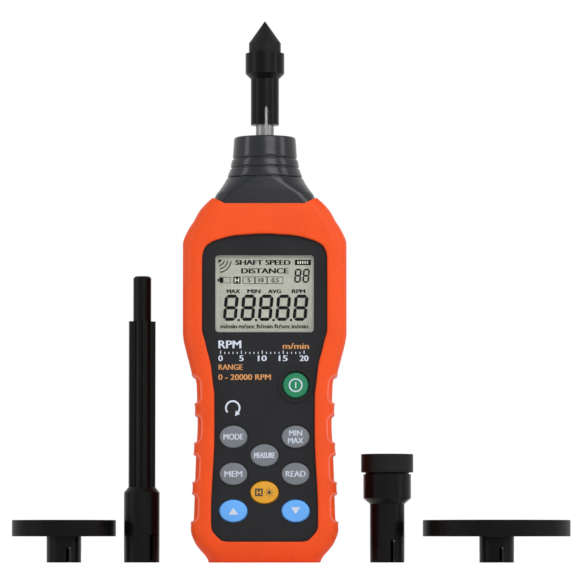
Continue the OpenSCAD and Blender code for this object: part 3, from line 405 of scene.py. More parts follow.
def corner_turns(per_corner):
    """Signs of each corner of a rounded rectangle in turn, with the angles along its arc."""
    for corner, signs in enumerate(((1, 1), (-1, 1), (-1, -1), (1, -1))):
        for i in range(per_corner + 1):
            yield *signs, math.radians(90) * (corner + i / per_corner)


def round_frame(x, z, w, h, radius, line, low_y, high_y):
    """Points and faces of a thin frame with rounded corners."""
    points = []
    for sx, sz, turn in corner_turns(8):
        middle_x, middle_z = x + sx * (w / 2 - radius), z + sz * (h / 2 - radius)
        points += [(middle_x + r * math.cos(turn), y, middle_z + r * math.sin(turn))
                   for r, y in ((radius - line, low_y), (radius, low_y), (radius, high_y),
                                (radius - line, high_y))]
    return points, swept_faces(len(points) // 4, 4)


def lettering(text, cap, x, z, low_y, high_y, width=None, bold=0.04):
    """Points and faces of generic words or numbers, centred on a place, facing -Y."""
    curve = bpy.data.curves.new("letters", "FONT")
    curve.body = text
    curve.extrude = 0.5
    curve.resolution_u = 4
    source = bpy.data.objects.new("letters", curve)
    bpy.context.scene.collection.objects.link(source)
    bpy.context.view_layer.update()
    mesh = bpy.data.meshes.new_from_object(source.evaluated_get(
        bpy.context.evaluated_depsgraph_get()))
    co = np.array([v.co for v in mesh.vertices], float).reshape(-1, 3)
    faces = [tuple(p.vertices) for p in mesh.polygons]
    bpy.data.objects.remove(source)
    bpy.data.curves.remove(curve)
    bpy.data.meshes.remove(mesh)
    low, high = co.min(0), co.max(0)
    middle, size = (low + high) / 2, high - low
    grow = cap / size[1]
    grow_x = width / size[0] if width else grow
    # Three shifted copies make the strokes bold, each on a level of its own
    level = 0.0005
    copies = []
    for way in (-1, 0, 1):
        points = [(x + way * bold * cap + (c[0] - middle[0]) * grow_x,
                   (low_y if c[2] > middle[2] else high_y) - way * level,
                   z + (c[1] - middle[1]) * grow) for c in co]
        copies.append((points, faces))
    return together(copies)


def islands(node):
    """Centre and size of each loose solid of a node, in millimetres."""
    bm = bmesh.new()
    bm.from_mesh(frame["nodes"][node].data)
    bmesh.ops.remove_doubles(bm, verts=bm.verts, dist=WELD * MM)
    seen, found = set(), []
    for start in bm.verts:
        if start in seen:
            continue
        stack, group = [start], []
        seen.add(start)
        while stack:
            v = stack.pop()
            group.append(v.co / MM)
            near = [e.other_vert(v) for e in v.link_edges]
            stack += [other for other in near if other not in seen]
            seen.update(near)
        low, high = Vector(map(min, *group)), Vector(map(max, *group))
        found.append(((low + high) / 2, high - low))
    bm.free()
    return found


def rounded_node(node, material, width):
    """A copy of a node with its edges rounded, which then stands for it."""
    source, name = frame["nodes"][node], node + "_skin"
    flat, sharp, segments = math.radians(0.6), math.radians(32), 2
    bm = bmesh.new()
    bm.from_mesh(source.data)
    bmesh.ops.remove_doubles(bm, verts=bm.verts, dist=WELD * MM)
    bmesh.ops.dissolve_limit(bm, angle_limit=flat, verts=bm.verts, edges=bm.edges)
    edges = [e for e in bm.edges if len(e.link_faces) == 2 and e.calc_face_angle() > sharp]
    bmesh.ops.bevel(bm, geom=edges, offset=width * MM, offset_type="OFFSET", segments=segments,
                    profile=0.5, affect="EDGES", clamp_overlap=True)
    bmesh.ops.remove_doubles(bm, verts=bm.verts, dist=WELD * MM / 2)
    mesh = bpy.data.meshes.new(name)
    bm.to_mesh(mesh)
    bm.free()
    piece = add_piece(name, mesh, material, source["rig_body"], (node,))
    weigh = piece.modifiers.new("even shading", "WEIGHTED_NORMAL")
    weigh.keep_sharp = True


def node_slot(name):
    """Name of the material slot of a node in the record."""
    return next(part["material_slot"] for part in frame["record"]["subparts"]
                if part["node"] == name)


# Materials

def feed(tree, socket, value):
    """Links an output to an input, or sets the input to a plain value."""
    if isinstance(value, bpy.types.NodeSocket):
        tree.links.new(value, socket)
    elif value is not None:
        socket.default_value = value


def add_node(tree, kind, *values, **settings):
    """A new node, with its first inputs in order, then inputs or attributes by name."""
    node = tree.nodes.new(kind)
    for key, value in settings.items():
        if key in node.inputs:
            feed(tree, node.inputs[key], value)
        else:
            setattr(node, key, value)
    for socket, value in zip(node.inputs, values):
        feed(tree, socket, value)
    return node


def blank_material(name, colour, roughness, metallic=0.0, specular=0.5):
    """A material with a plain shader, and its tree, shader and object coordinates."""
    material = bpy.data.materials.new(name)
    material.use_nodes = True
    tree = material.node_tree
    shader = tree.nodes["Principled BSDF"]
    shader.inputs["Base Color"].default_value = (*colour, 1)
    shader.inputs["Roughness"].default_value = roughness
    shader.inputs["Metallic"].default_value = metallic
    shader.inputs["Specular IOR Level"].default_value = specular
    place = add_node(tree, "ShaderNodeTexCoord").outputs["Object"]
    return material, tree, shader, place


def noise(tree, place, size, detail=2.0, stretch=(1, 1, 1)):
    """A cloudy pattern whose features are about a size in millimetres across."""
    scaled = add_node(tree, "ShaderNodeVectorMath", place,
                      tuple(s / (size * MM) for s in stretch), operation="MULTIPLY")
    cloud = add_node(tree, "ShaderNodeTexNoise", Vector=scaled.outputs[0], Scale=1.0,
                     Detail=detail, Roughness=0.55)
    return cloud.outputs["Fac"]


def remap(tree, value, low, high, from_low=0.3, from_high=0.7):
    """A value carried to another range."""
    return add_node(tree, "ShaderNodeMapRange", value, from_low, from_high, low,
                    high).outputs["Result"]


def shade_colour(tree, value, colour, low, high):
    """A colour made darker and lighter by a pattern."""
    return add_node(tree, "ShaderNodeVectorMath", colour, operation="SCALE",
                    Scale=remap(tree, value, low, high)).outputs[0]


def mix_colour(tree, value, low_colour, high_colour):
    """Goes from one colour, or socket, to another by a value."""
    node = add_node(tree, "ShaderNodeMix", value, data_type="RGBA")
    for socket, colour in ((node.inputs[6], low_colour), (node.inputs[7], high_colour)):
        feed(tree, socket, colour if isinstance(colour, bpy.types.NodeSocket)
             else (*colour, 1))
    return node.outputs[2]


def bump(tree, shader, height, depth, below=None):
    """Raises a surface by a pattern, by a depth in millimetres."""
    normal = add_node(tree, "ShaderNodeBump", Strength=1.0, Distance=depth * MM, Height=height,
                      Normal=below).outputs["Normal"]
    feed(tree, shader.inputs["Normal"], normal)
    return normal


def moulded(name, colour, roughness, grain, depth, mottle=0.08, specular=0.5, wave=0.0):
    """Moulded plastic or rubber: a fine grain, uneven gloss and a slight mottle."""
    broad_scale, gloss_spread = 28, 0.07
    material, tree, shader, place = blank_material(name, colour, roughness, 0, specular)
    fine = noise(tree, place, grain, 3)
    broad = noise(tree, place, grain * broad_scale, 2)
    feed(tree, shader.inputs["Base Color"],
         shade_colour(tree, broad, colour, 1 - mottle, 1 + mottle))
    feed(tree, shader.inputs["Roughness"],
         remap(tree, fine, roughness - gloss_spread, roughness + gloss_spread))
    under = bump(tree, shader, broad, wave) if wave else None
    bump(tree, shader, fine, depth, under)
    return material


def grip_rubber(colour):
    """Soft grip rubber: a leathery grain with darker pits, and a painted highlight on the
    beads.
    """
    cell, cell_depth, skin, skin_depth = 0.42, 0.014, 0.16, 0.006
    material, tree, shader, place = blank_material("grip_rubber", colour, 0.48, 0, 0.2)
    scaled = add_node(tree, "ShaderNodeVectorMath", place, operation="SCALE",
                      Scale=1 / (cell * MM))
    cells = add_node(tree, "ShaderNodeTexVoronoi", Vector=scaled.outputs[0], Scale=1.0,
                     feature="SMOOTH_F1").outputs["Distance"]
    broad = noise(tree, place, 14, 3)
    fine = noise(tree, place, skin, 2)
    tone = shade_colour(tree, broad, colour, 0.95, 1.05)
    dark = tuple(c * 0.86 for c in colour)
    # A paler orange, painted on the beads round the finger hollows by the bead attribute,
    # stands for their highlight
    pale = tuple(c + 0.32 * (1 - c) for c in colour)
    leather = mix_colour(tree, remap(tree, cells, 0, 1, 0.45, 0.85), tone, dark)
    bead_highlight = add_node(tree, "ShaderNodeAttribute", attribute_name="bead").outputs["Fac"]
    feed(tree, shader.inputs["Base Color"],
         mix_colour(tree, remap(tree, bead_highlight, 0, 0.42, 0, 1), leather, pale))
    feed(tree, shader.inputs["Roughness"], remap(tree, broad, 0.42, 0.54))
    bump(tree, shader, cells, cell_depth, bump(tree, shader, fine, skin_depth))
    return material


def metal(name, colour, roughness, grain, depth, marks, spread, haze_size, tones):
    """Bare metal: fine marks of a detail and stretch, and a cloudy gloss and tone."""
    material, tree, shader, place = blank_material(name, colour, roughness, 1)
    fine = noise(tree, place, grain, *marks)
    haze = noise(tree, place, haze_size, 2)
    feed(tree, shader.inputs["Roughness"],
         remap(tree, fine, roughness - spread[0], roughness + spread[1]))
    feed(tree, shader.inputs["Base Color"], shade_colour(tree, haze, colour, *tones))
    bump(tree, shader, fine, depth)
    return material


def turned_metal(name, colour, roughness, ring, depth):
    """Metal turned on a lathe: fine rings round an upright axis."""
    return metal(name, colour, roughness, ring, depth, (2, (0.02, 0.02, 1)), (0.06, 0.1), 5,
                 (0.9, 1.08))


def cast_metal(name, colour, roughness):
    """Plated or bright metal with small scratches and an uneven gloss."""
    return metal(name, colour, roughness, 0.2, 0.004, (3, (1, 0.15, 0.3)), (0.08, 0.12), 3,
                 (0.85, 1.1))


def board_laminate(colour):
    """Green circuit board: straight tracks under a glossy lacquer."""
    tile, gap_share, track_depth = 9, 0.035, 0.03
    material, tree, shader, place = blank_material("circuit_board", colour, 0.3)
    turned = add_node(tree, "ShaderNodeMapping", Vector=place,
                      Rotation=(math.radians(90), 0, 0))
    tracks = add_node(tree, "ShaderNodeTexBrick", Vector=turned.outputs[0],
                      Scale=1 / (tile * MM), offset=0.37)
    tracks.inputs["Mortar Size"].default_value = gap_share
    light = tuple(c * 1.9 for c in colour)
    cloud = remap(tree, noise(tree, place, 4, 2), 0, 1, 0.45, 0.55)
    feed(tree, shader.inputs["Base Color"], mix_colour(tree, cloud, colour, light))
    bump(tree, shader, tracks.outputs["Fac"], track_depth)
    return material


def battery_wrap():
    """Printed battery jacket: black with a plain copper band at its upper end."""
    black, copper, band_share = (0.02, 0.02, 0.022), (0.5, 0.21, 0.08), 0.68
    material, tree, shader, place = blank_material("battery_wrap", black, 0.3)
    height = add_node(tree, "ShaderNodeSeparateXYZ", place).outputs["Z"]
    low, high = span("battery")
    edge = low.z + band_share * (high.z - low.z)
    band = remap(tree, height, 0, 1, edge * MM, (edge + 0.2) * MM)
    feed(tree, shader.inputs["Base Color"], mix_colour(tree, band, black, copper))
    feed(tree, shader.inputs["Roughness"], remap(tree, noise(tree, place, 0.6, 2), 0.24, 0.36))
    bump(tree, shader, noise(tree, place, 9, 2), 0.05)
    return material


def clear_window():
    """Hard clear window, which reflects a little and lets the display show."""
    material, tree, shader, place = blank_material("lens", (0.02, 0.022, 0.024), 0.06)
    shader.inputs["Alpha"].default_value = 0.07
    feed(tree, shader.inputs["Roughness"], remap(tree, noise(tree, place, 7, 2), 0.04, 0.1))
    return material


def finishes():
    """Every material, by the name of its slot in the record."""
    c = bpy.context.scene.tachometer_colours
    black = tuple(c.black)
    # Colour, roughness, grain and its depth, then mottle, specular and wave where they differ
    plastics = {
        "case_plastic": (tuple(c.panel), 0.5, 0.42, 0.06, 0.16, 0.17),
        "nose_plastic": (tuple(c.nose), 0.24, 0.25, 0.004, 0.1, 0.34, 0.03),
        "lcd": (tuple(c.cell), 0.4, 0.9, 0.002, 0.025, 0.3),
        "white_plastic": ((0.75, 0.75, 0.72), 0.45, 0.3, 0.01),
        "strip_rubber": ((0.62, 0.3, 0.24), 0.6, 0.2, 0.02),
        "part_plastic": ((0.03, 0.03, 0.032), 0.45, 0.15, 0.01),
        "key_green": (tuple(c.key_green), 0.42, 0.3, 0.01, 0.05, 0.3),
        "key_grey": (tuple(c.key_grey), 0.45, 0.3, 0.012, 0.06, 0.4),
        "key_amber": (tuple(c.key_amber), 0.42, 0.3, 0.01, 0.05, 0.4),
        "key_blue": (tuple(c.key_blue), 0.42, 0.3, 0.01, 0.05, 0.4),
        "ribbon": ((0.78, 0.76, 0.68), 0.4, 0.5, 0.02),
        "holder_plastic": (black, 0.3, 0.3, 0.006, 0.2, 0.1, 0.02),
        "tip_rubber": ((0.0042, 0.0037, 0.0048), 0.5, 0.35, 0.02, 0.2, 0.14),
        "tyre_rubber": (black, 0.45, 0.3, 0.016, 0.2, 0.08),
        "lead_cover": ((0.35, 0.012, 0.01), 0.4, 0.4, 0.01),
        "foam": ((0.02, 0.02, 0.022), 0.9, 0.5, 0.12, 0.25, 0.1),
        "white_ink": ((0.6, 0.66, 0.78), 0.45, 0.5, 0.004, 0.05),
        "amber_ink": ((0.62, 0.27, 0.08), 0.45, 0.5, 0.004, 0.05),
        "black_ink": ((0.03, 0.02, 0.012), 0.45, 0.5, 0.004, 0.05),
        # Pale grey of the painted highlight along the window's glass edge
        "painted_lens_highlight": ((0.5, 0.52, 0.48), 0.3, 0.5, 0.002, 0.05),
        "segment": ((0.004, 0.003, 0.003), 0.4, 0.5, 0.002, 0.05, 0.1),
    }
    # Colour, roughness, spacing of the turned rings and their depth
    turned = {
        "tube_metal": ((0.72, 0.72, 0.73), 0.3, 0.2, 0.006),
        "bearing_steel": ((0.66, 0.66, 0.67), 0.16, 0.1, 0.001),
        "cage_brass": ((0.72, 0.5, 0.2), 0.3, 0.2, 0.004),
        "spindle_steel": (tuple(c.steel), 0.36, 0.22, 0.004),
    }
    made = {name: moulded(name, *look) for name, look in plastics.items()}
    made.update({name: turned_metal(name, *look) for name, look in turned.items()})
    made["screw_steel"] = cast_metal("screw_steel", (0.07, 0.07, 0.075), 0.36)
    made["contact_metal"] = cast_metal("contact_metal", (0.7, 0.68, 0.64), 0.28)
    made["grip_rubber"] = grip_rubber(tuple(c.grip))
    made["lens"] = clear_window()
    made["circuit_board"] = board_laminate((0.008, 0.085, 0.03))
    made["battery_wrap"] = battery_wrap()
    return made


FINISH = {}


def finish(name):
    """A material, made once."""
    if not FINISH:
        FINISH.update(finishes())
    return FINISH[name]


# Grip

def outer_line(sizes):
    """Half of the grip's silhouette, from the middle of its sole to the middle of its top."""
    foot_rows, low_rows, high_rows, slope_rows, top_rows = 18, 33, 110, 14, 16
    clear = sizes.hollow_h / 2 + 1.5
    hollow_bottom = HOLLOW_LOW - clear
    hollow_top = HOLLOW_LOW + (HOLLOW_COUNT - 1) * HOLLOW_PITCH + clear
    heights = list(np.linspace(0, hollow_bottom, low_rows + 1)[:-1])
    heights += list(np.arange(hollow_bottom, hollow_top, sizes.row_step))
    heights += list(np.linspace(hollow_top, GRIP_H, high_rows))
    sole, top = half_width(0), half_width(GRIP_H)
    line = [(sole * i / foot_rows, 0.0, "foot") for i in range(foot_rows)]
    line += [(half_width(z), z, "side") for z in heights]
    # The top slopes down to the nose and goes on level below it
    dip, slope = 2.9, 5.4
    line += [(top - slope * i / slope_rows, GRIP_H - dip * i / slope_rows, "lip")
             for i in range(1, slope_rows + 1)]
    line += [((top - slope) * (1 - i / top_rows), GRIP_H - dip, "lip")
             for i in range(1, top_rows + 1)]
    return line


def inner_partner(x, z, kind, width):
    """Point of the panel's outline that a point of the silhouette is joined to."""
    if kind == "foot":
        return x * panel_half(PANEL_LOW, width) / half_width(0), PANEL_LOW
    if kind == "lip":
        inner_x = x * panel_half(ARCH_Z, width) / half_width(GRIP_H)
        if inner_x <= PANEL_SHARES[-1][1] * width / 2:
            return inner_x, PANEL_TOP
        heights = np.linspace(PANEL_TOP, ARCH_Z, 40)
        halves = [panel_half(h, width) for h in heights]
        return inner_x, float(np.interp(inner_x, halves, heights))
    outer_heights = (0, 6, 12, 22, 84, 124, 138, NOSE_SEAT, GRIP_H)
    inner_heights = (PANEL_LOW, 10.2, 14.2, 22, 84, 123, 133.5, 140.5, ARCH_Z)
    inner_z = np.interp(z, outer_heights, inner_heights)
    return panel_half(inner_z, width), float(inner_z)


def hollow_gap(along, z, sizes):
    """Distance from the rim of the nearest finger hollow, less than nothing inside it."""
    nearest = HOLLOW_LOW + HOLLOW_PITCH * min(
        max(round((z - HOLLOW_LOW) / HOLLOW_PITCH), 0), HOLLOW_COUNT - 1)
    across = abs(z - nearest) - (sizes.hollow_h / 2 - HOLLOW_ROUND)
    inward = HOLLOW_ROUND - along
    inside = min(max(across, inward), 0)
    return math.hypot(max(across, 0), max(inward, 0)) + inside - HOLLOW_ROUND


def hollow_sink(along, z, sizes):
    """How far the grip is drawn in by a finger hollow, or raised by the bead round it."""
    wall, bead_half, fullness = 0.9, 0.55, 1.6
    gap = hollow_gap(along, z, sizes)
    sink = sizes.hollow_depth * smooth_step(-gap / wall)
    bead = sizes.hollow_bead * max(0.0, 1 - abs(gap - BEAD_OUT) / bead_half)
    return sink - bead * (3 - 2 * bead / max(sizes.hollow_bead, 1e-6)) / fullness


def bead_highlight_mask(x, y, z, sizes):
    """How close a grip point is to the bead round a finger hollow, 0 to 1: its painted
    highlight.
    """
    low, high, bead_half = 16.5, 85, 0.6
    if not low < z < high:
        return 0.0
    over = abs(x) - (half_width(z) - CORNER_R)
    depth = abs(y) - (half_depth(z) - CORNER_R)
    turn = math.atan2(max(over, 0), max(depth, 1e-6))
    along = CORNER_R * (turn - HOLLOW_TURN) + max(-depth, 0)
    return max(0.0, 1 - abs(hollow_gap(along, z, sizes) - BEAD_OUT) / bead_half)


def nose_side(x, face):
    """Depth at which the grip's top meets the nose, a little in front of the nose's side."""
    nose_half, nose_d = half_width(GRIP_H) - 0.95, 15.8
    if abs(x) > nose_half:
        return None
    return min(corner_depth(x, nose_half, nose_d) + 0.05, face - 0.1)


def grip_section(x, z, kind, side, width, sizes):
    """Points of one section through half of the grip, from the panel's edge outwards."""
    px, pz = inner_partner(x, z, kind, width)
    away = Vector((x - px, z - pz))
    length = away.length
    away.normalize()
    panel_d = (-PANEL_Y if side < 0 else BACK_PANEL_Y) - 0.1
    hollow_low, hollow_high = 17.0, 84.5
    beside_hollows = hollow_low < z < hollow_high and kind == "side"

    def face_point(along):
        fx, fz = px + away.x * along, pz + away.y * along
        return fx, fz, face_depth(fx, fz)

    # A wall up from the panel, and the rounded lip at its top
    lip_steps, face_steps, least_w, least_gap = 6, 5, 0.2, 0.3
    fx, fz, top = face_point(0)
    section = [(px, pz, panel_d), (fx, fz, top - sizes.lip_r)]
    for i in range(1, lip_steps + 1):
        turn = math.radians(90 * i / lip_steps)
        fx, fz, top = face_point(sizes.lip_r * (1 - math.cos(turn)))
        section.append((fx, fz, top - sizes.lip_r * (1 - math.sin(turn))))

    # The face, then the rounded corner, whose angles lie closer where the hollows start
    flat = length - CORNER_R
    start = sizes.lip_r * 1.25
    face_w = max(flat - start, least_w)
    section += [face_point(start + face_w * i / face_steps) for i in range(1, face_steps)]
    base = max(flat, start + least_gap)
    for angle in (4, 8, 13, 18, 22, 25.5, 28.5, 31, 33.5, 36, 38.5, 41, 43.5, 46, 49, 52, 56,
                  61, 67, 74, 82, 90):
        turn = math.radians(angle)
        fx, fz, top = face_point(base + (length - base) * math.sin(turn))
        if beside_hollows:
            sink = hollow_sink(CORNER_R * (turn - HOLLOW_TURN), z, sizes)
            fx -= sink * math.sin(turn)
            top -= sink * math.cos(turn)
        section.append((fx, fz, top))

    # The outer wall down to the parting line, whose edge is chamfered
    chamfer, steps = 0.14, 8
    wall_start = face_depth(x, z)
    wall_end = nose_side(x, wall_start) if kind == "lip" else None
    if wall_end is None:
        wall_end = PARTING_Y * side
    for i in range(1, steps + 1):
        depth = wall_start + (wall_end - wall_start) * i / steps
        wx, wz = x, z
        if beside_hollows:
            along = CORNER_R * (math.pi / 2 - HOLLOW_TURN) + (wall_start - depth)
            wx -= hollow_sink(along, z, sizes)
        if i == steps:
            wx, wz = wx - away.x * chamfer, wz - away.y * chamfer
        elif i == steps - 1:
            depth = wall_end + chamfer * (1 if wall_start > wall_end else -1)
        section.append((wx, wz, depth))

    # Back up inside, where the case or the nose fills the grip
    inset, lip_inset, top_inset = 3.0, 1.0, 0.8
    if kind == "side":
        inset = float(np.interp(z, [NOSE_SEAT, GRIP_H], [inset, top_inset]))
    elif kind == "lip":
        inset = lip_inset
    back = (x - away.x * inset, z - away.y * inset)
    section.append((*back, wall_end))
    section.append((*back, max(panel_d - 0.2, wall_end) if kind == "lip" else panel_d))
    return section


def grip_half_mesh(name, side, width, sizes):
    """Mesh of one half of the grip; side is -1 at the front and 1 at the back."""
    right = [grip_section(x, z, kind, side, width, sizes) for x, z, kind in outer_line(sizes)]
    left = [[(-x, z, d) for x, z, d in section] for section in right[-2:0:-1]]
    sections = right + left
    points = [(x, side * d, z) for section in sections for x, z, d in section]
    mesh = outward_mesh(name, points, swept_faces(len(sections), len(sections[0])))
    # The bead attribute is the mask of the painted highlight on the beads
    highlight_attribute = mesh.attributes.new("bead", "FLOAT", "POINT")
    highlight_attribute.data.foreach_set("value", [bead_highlight_mask(*(v.co / MM), sizes) for v in mesh.vertices])
    return mesh


class TACHOMETER_OT_grip(bpy.types.Operator):
    """Both halves of the soft grip, with rounded edges and beaded finger hollows"""

    bl_idname = "tachometer.grip"
    bl_label = "Soft grip"

    def execute(self, context):
        sizes = context.scene.tachometer_sizes
        for node, side, rim in (("front_grip", -1, RIM_W), ("rear_grip", 1, BACK_RIM_W)):
            name = node + "_skin"
            mesh = grip_half_mesh(name, side, BODY_W - 2 * rim, sizes)
            add_piece(name, mesh, finish("grip_rubber"), "case", (node,), 50)
        return {"FINISHED"}


# Nose

def ring_points(z, half_w, half_d, radius):
    """Points in millimetres of a level rounded rectangle round the spindle's axis."""
    radius = min(radius, half_w, half_d)
    return [(sx * (half_w - radius) + radius * math.cos(turn),
             sy * (half_d - radius) + radius * math.sin(turn), z)
            for sx, sy, turn in corner_turns(30)]


def nose_ring(z):
    """Half width, half depth and corner radius of the nose at a height."""
    depth, seat_inset = (NOSE_HIGH.y - NOSE_LOW.y) / 2, 3.05
    if z <= GRIP_H:
        foot_inset = half_width(GRIP_H) - NOSE_FOOT
        inset = np.interp(z, [NOSE_SEAT, GRIP_H], [seat_inset, foot_inset])
        return half_width(z) - inset, depth, CORNER_R
    share = (z - GRIP_H) / (NOSE_HIGH.z - GRIP_H)
    half_w = smooth_lookup(NOSE_SHARES, share) * NOSE_FOOT
    half_d = smooth_lookup(NOSE_SHARES, share, 2) * depth
    turn = smooth_lookup(NOSE_SHARES, share, 3)
    return half_w, half_d, CORNER_R + (min(half_w, half_d) - CORNER_R) * turn


def nose_outside(depth):
    """Heights of the nose's outside and how far it is drawn in there, with its grooves."""
    row, clear = 0.4, 0.85
    grooves = [GRIP_H + s * (NOSE_HIGH.z - GRIP_H) for s in GROOVE_SHARES]
    heights = set(np.arange(NOSE_SEAT, NOSE_HIGH.z - NOSE_SOFT, row)) | {GRIP_H}
    steps = [(z, 0.0) for z in heights if all(abs(z - g) > clear for g in grooves)]
    # A groove from below to above its middle; its upper edge is the rounder one
    section = ((-0.8, 0.0), (-0.5, 0.02), (-0.36, 0.12), (-0.28, depth * 0.55),
               (-0.22, depth), (0.22, depth), (0.28, depth * 0.6), (0.36, 0.32), (0.5, 0.2),
               (0.8, 0.12))
    steps += [(g + up, inset) for g in grooves for up, inset in section]
    return sorted(steps)


def nose_lug(side):
    """Points and faces of the lug that a case half's screw boss holds, with its half hole."""
    x, top = side * LUG_X, NOSE_SEAT + 0.2
    hole = [(x - side * LUG_HOLE_R * math.cos(a), LUG_HOLE_Z + LUG_HOLE_R * math.sin(a))
            for a in np.linspace(0, math.pi, 13)]
    legs = [(-LUG_HOLE_R, LUG_LOW), (-LUG_HALF, LUG_LOW), (-LUG_HALF, top), (LUG_HALF, top),
            (LUG_HALF, LUG_LOW), (LUG_HOLE_R, LUG_LOW)]
    outline = [(x + side * u, z) for u, z in legs] + hole[::-1]
    return prism(outline, LUG_FRONT, LUG_BACK)


def nose_mesh(sizes):
    """The nose's shell: its outside with three ring grooves, and the room inside it."""
    rings = []
    for z, inset in nose_outside(sizes.groove_depth):
        half_w, half_d, radius = nose_ring(z)
        rings.append(ring_points(z, half_w - inset, half_d - inset, radius - inset))
    top, soft_low, soft_steps, chamfer = NOSE_HIGH.z, NOSE_HIGH.z - NOSE_SOFT, 6, 0.2
    half_w, half_d, radius = nose_ring(soft_low)
    for i in range(soft_steps + 1):
        turn = math.radians(90 * i / soft_steps)
        inset = NOSE_SOFT * (1 - math.cos(turn))
        rings.append(ring_points(soft_low + NOSE_SOFT * math.sin(turn), half_w - inset,
                                 half_d - inset, radius - inset))
    room_top = NOSE_SEAT + ROOM_H
    for z, r in ((top, CAP_R + chamfer), (top - chamfer, CAP_R), (top - CAP_SEAT, CAP_R),
                 (top - CAP_SEAT, TUBE_R), (room_top, TUBE_R)):
        rings.append(ring_points(z, r, r, r))
    rings += [ring_points(z, ROOM_W, ROOM_D, ROOM_R) for z in (room_top, NOSE_SEAT)]
    points = [p for ring in rings for p in ring]
    shell = (points, swept_faces(len(rings), len(rings[0])))
    return outward_mesh("nose_skin", *together([shell, nose_lug(-1), nose_lug(1)]))


class TACHOMETER_OT_nose(bpy.types.Operator):
    """The black nose with three ring grooves and a rounded top edge"""

    bl_idname = "tachometer.nose"
    bl_label = "Nose"

    def execute(self, context):
        sizes = context.scene.tachometer_sizes
        add_piece("nose_skin", nose_mesh(sizes), finish("nose_plastic"), "case",
                  ("nose_shell",), 35)
        return {"FINISHED"}


# Case, keys and loose pieces

def key_place(key):
    """Middle of a key, and the half width and half height of its crown."""
    low, high = span(key)
    half_w, half_h = (high.x - low.x) / 2 - KEY_FLANGE, (high.z - low.z) / 2 - KEY_FLANGE
    return (low + high) / 2, half_w, half_h


def key_mesh(name, key, dome, sides=72):
    """Mesh of a key with a crowned top and rounded shoulders, its flange and its plunger."""
    middle, half_w, half_h = key_place(key)
    crown_w, crown_h = half_w - KEY_SHOULDER, half_h - KEY_SHOULDER
    rings = [(KEY_TOP_Y - dome * math.cos(math.radians(90 * t)) + dome, t * crown_w,
              t * crown_h) for t in (0.12, 0.25, 0.4, 0.55, 0.7, 0.82, 0.92, 1.0)]
    for angle in (10, 25, 40, 55, 70, 82, 90):
        turn = math.radians(angle)
        out = KEY_STEP + KEY_SOFT * math.sin(turn)
        rings.append((KEY_TOP_Y + dome + KEY_SOFT * (1 - math.cos(turn)), crown_w + out,
                      crown_h + out))
    rings += [(KEY_INNER_Y, half_w, half_h)]
    rings += [(y, half_w + KEY_FLANGE, half_h + KEY_FLANGE) for y in (KEY_INNER_Y, KEY_BACK_Y)]
    rings += [(y, r, r) for y, r in ((KEY_BACK_Y, PLUNGER_R),
                                     (KEY_TIP_Y - PLUNGER_TAPER, PLUNGER_R),
                                     (KEY_TIP_Y, PLUNGER_TIP_R))]
    points = [(middle.x, KEY_TOP_Y, middle.z)]
    for y, rx, rz in rings:
        points += [(middle.x + rx * math.cos(math.tau * i / sides), y,
                    middle.z + rz * math.sin(math.tau * i / sides)) for i in range(sides)]
    points.append((middle.x, KEY_TIP_Y, middle.z))
    return outward_mesh(name, points, capped_faces(len(rings), sides))


class TACHOMETER_OT_keys(bpy.types.Operator):
    """Nine keys with crowned tops, each in its own colour"""

    bl_idname = "tachometer.keys"
    bl_label = "Keys"

    def execute(self, context):
        dome = context.scene.tachometer_sizes.key_dome
        for key, slot in KEYS:
            mesh = key_mesh(key + "_cap", key, dome)
            add_piece(key + "_cap", mesh, finish(slot), key, (key,), 50)
        return {"FINISHED"}


class TACHOMETER_OT_case(bpy.types.Operator):
    """Both case halves, the battery cover and the nose's end cap, with softened edges"""

    bl_idname = "tachometer.case"
    bl_label = "Case"

    def execute(self, context):
        width = context.scene.tachometer_sizes.edge
        for node, slot in CASE:
            rounded_node(node, finish(slot), width)
        return {"FINISHED"}


class TACHOMETER_OT_loose(bpy.types.Operator):
    """Tip, funnel adapter, extension rod and both wheels, with softened edges"""

    bl_idname = "tachometer.loose"
    bl_label = "Tips, rod and wheels"

    def execute(self, context):
        width = context.scene.tachometer_sizes.edge
        for node, slot in LOOSE:
            rounded_node(node, finish(slot), width)
        return {"FINISHED"}


class TACHOMETER_OT_inside(bpy.types.Operator):
    """Finishes of the pieces that stay as the frame has them"""

    bl_idname = "tachometer.inside"
    bl_label = "Inner pieces"

    def execute(self, context):
        for name, node in frame["nodes"].items():
            for place in node.material_slots:
                place.material = finish(node_slot(name))
        return {"FINISHED"}


# Display and print

def drape(lot, surface, rise, depth=0.12):
    """Lays a plate on a surface: its front rises above it and its back is sunk in it."""
    bm = bmesh.new()
    corners = [bm.verts.new(p) for p in lot[0]]
    for face in lot[1]:
        bm.faces.new([corners[i] for i in face])
    bmesh.ops.triangulate(bm, faces=bm.faces)
    for _ in range(3):
        long_edges = [e for e in bm.edges if e.calc_length() > 0.9]
        if not long_edges:
            break
        bmesh.ops.subdivide_edges(bm, edges=long_edges, cuts=1)
        bmesh.ops.triangulate(bm, faces=bm.faces)
    ys = [v.co.y for v in bm.verts]
    low, high = min(ys), max(ys)
    laid = []
    for index, v in enumerate(bm.verts):
        v.index = index
        share = (v.co.y - low) / (high - low)
        laid.append((v.co.x, surface(v.co.x, v.co.z) - rise + (rise + depth) * share, v.co.z))
    faces = [tuple(v.index for v in face.verts) for face in bm.faces]
    bm.free()
    return laid, faces


def bar_outline(x, z, length, stroke, upright):
    """Outline of one bar of a display digit, with pointed ends."""
    a, b = length / 2, stroke / 2
    shape = [(-a, 0), (-a + b, b), (a - b, b), (a, 0), (a - b, -b), (-a + b, -b)]
    return [(x + v, z + u) if upright else (x + u, z + v) for u, v in shape]


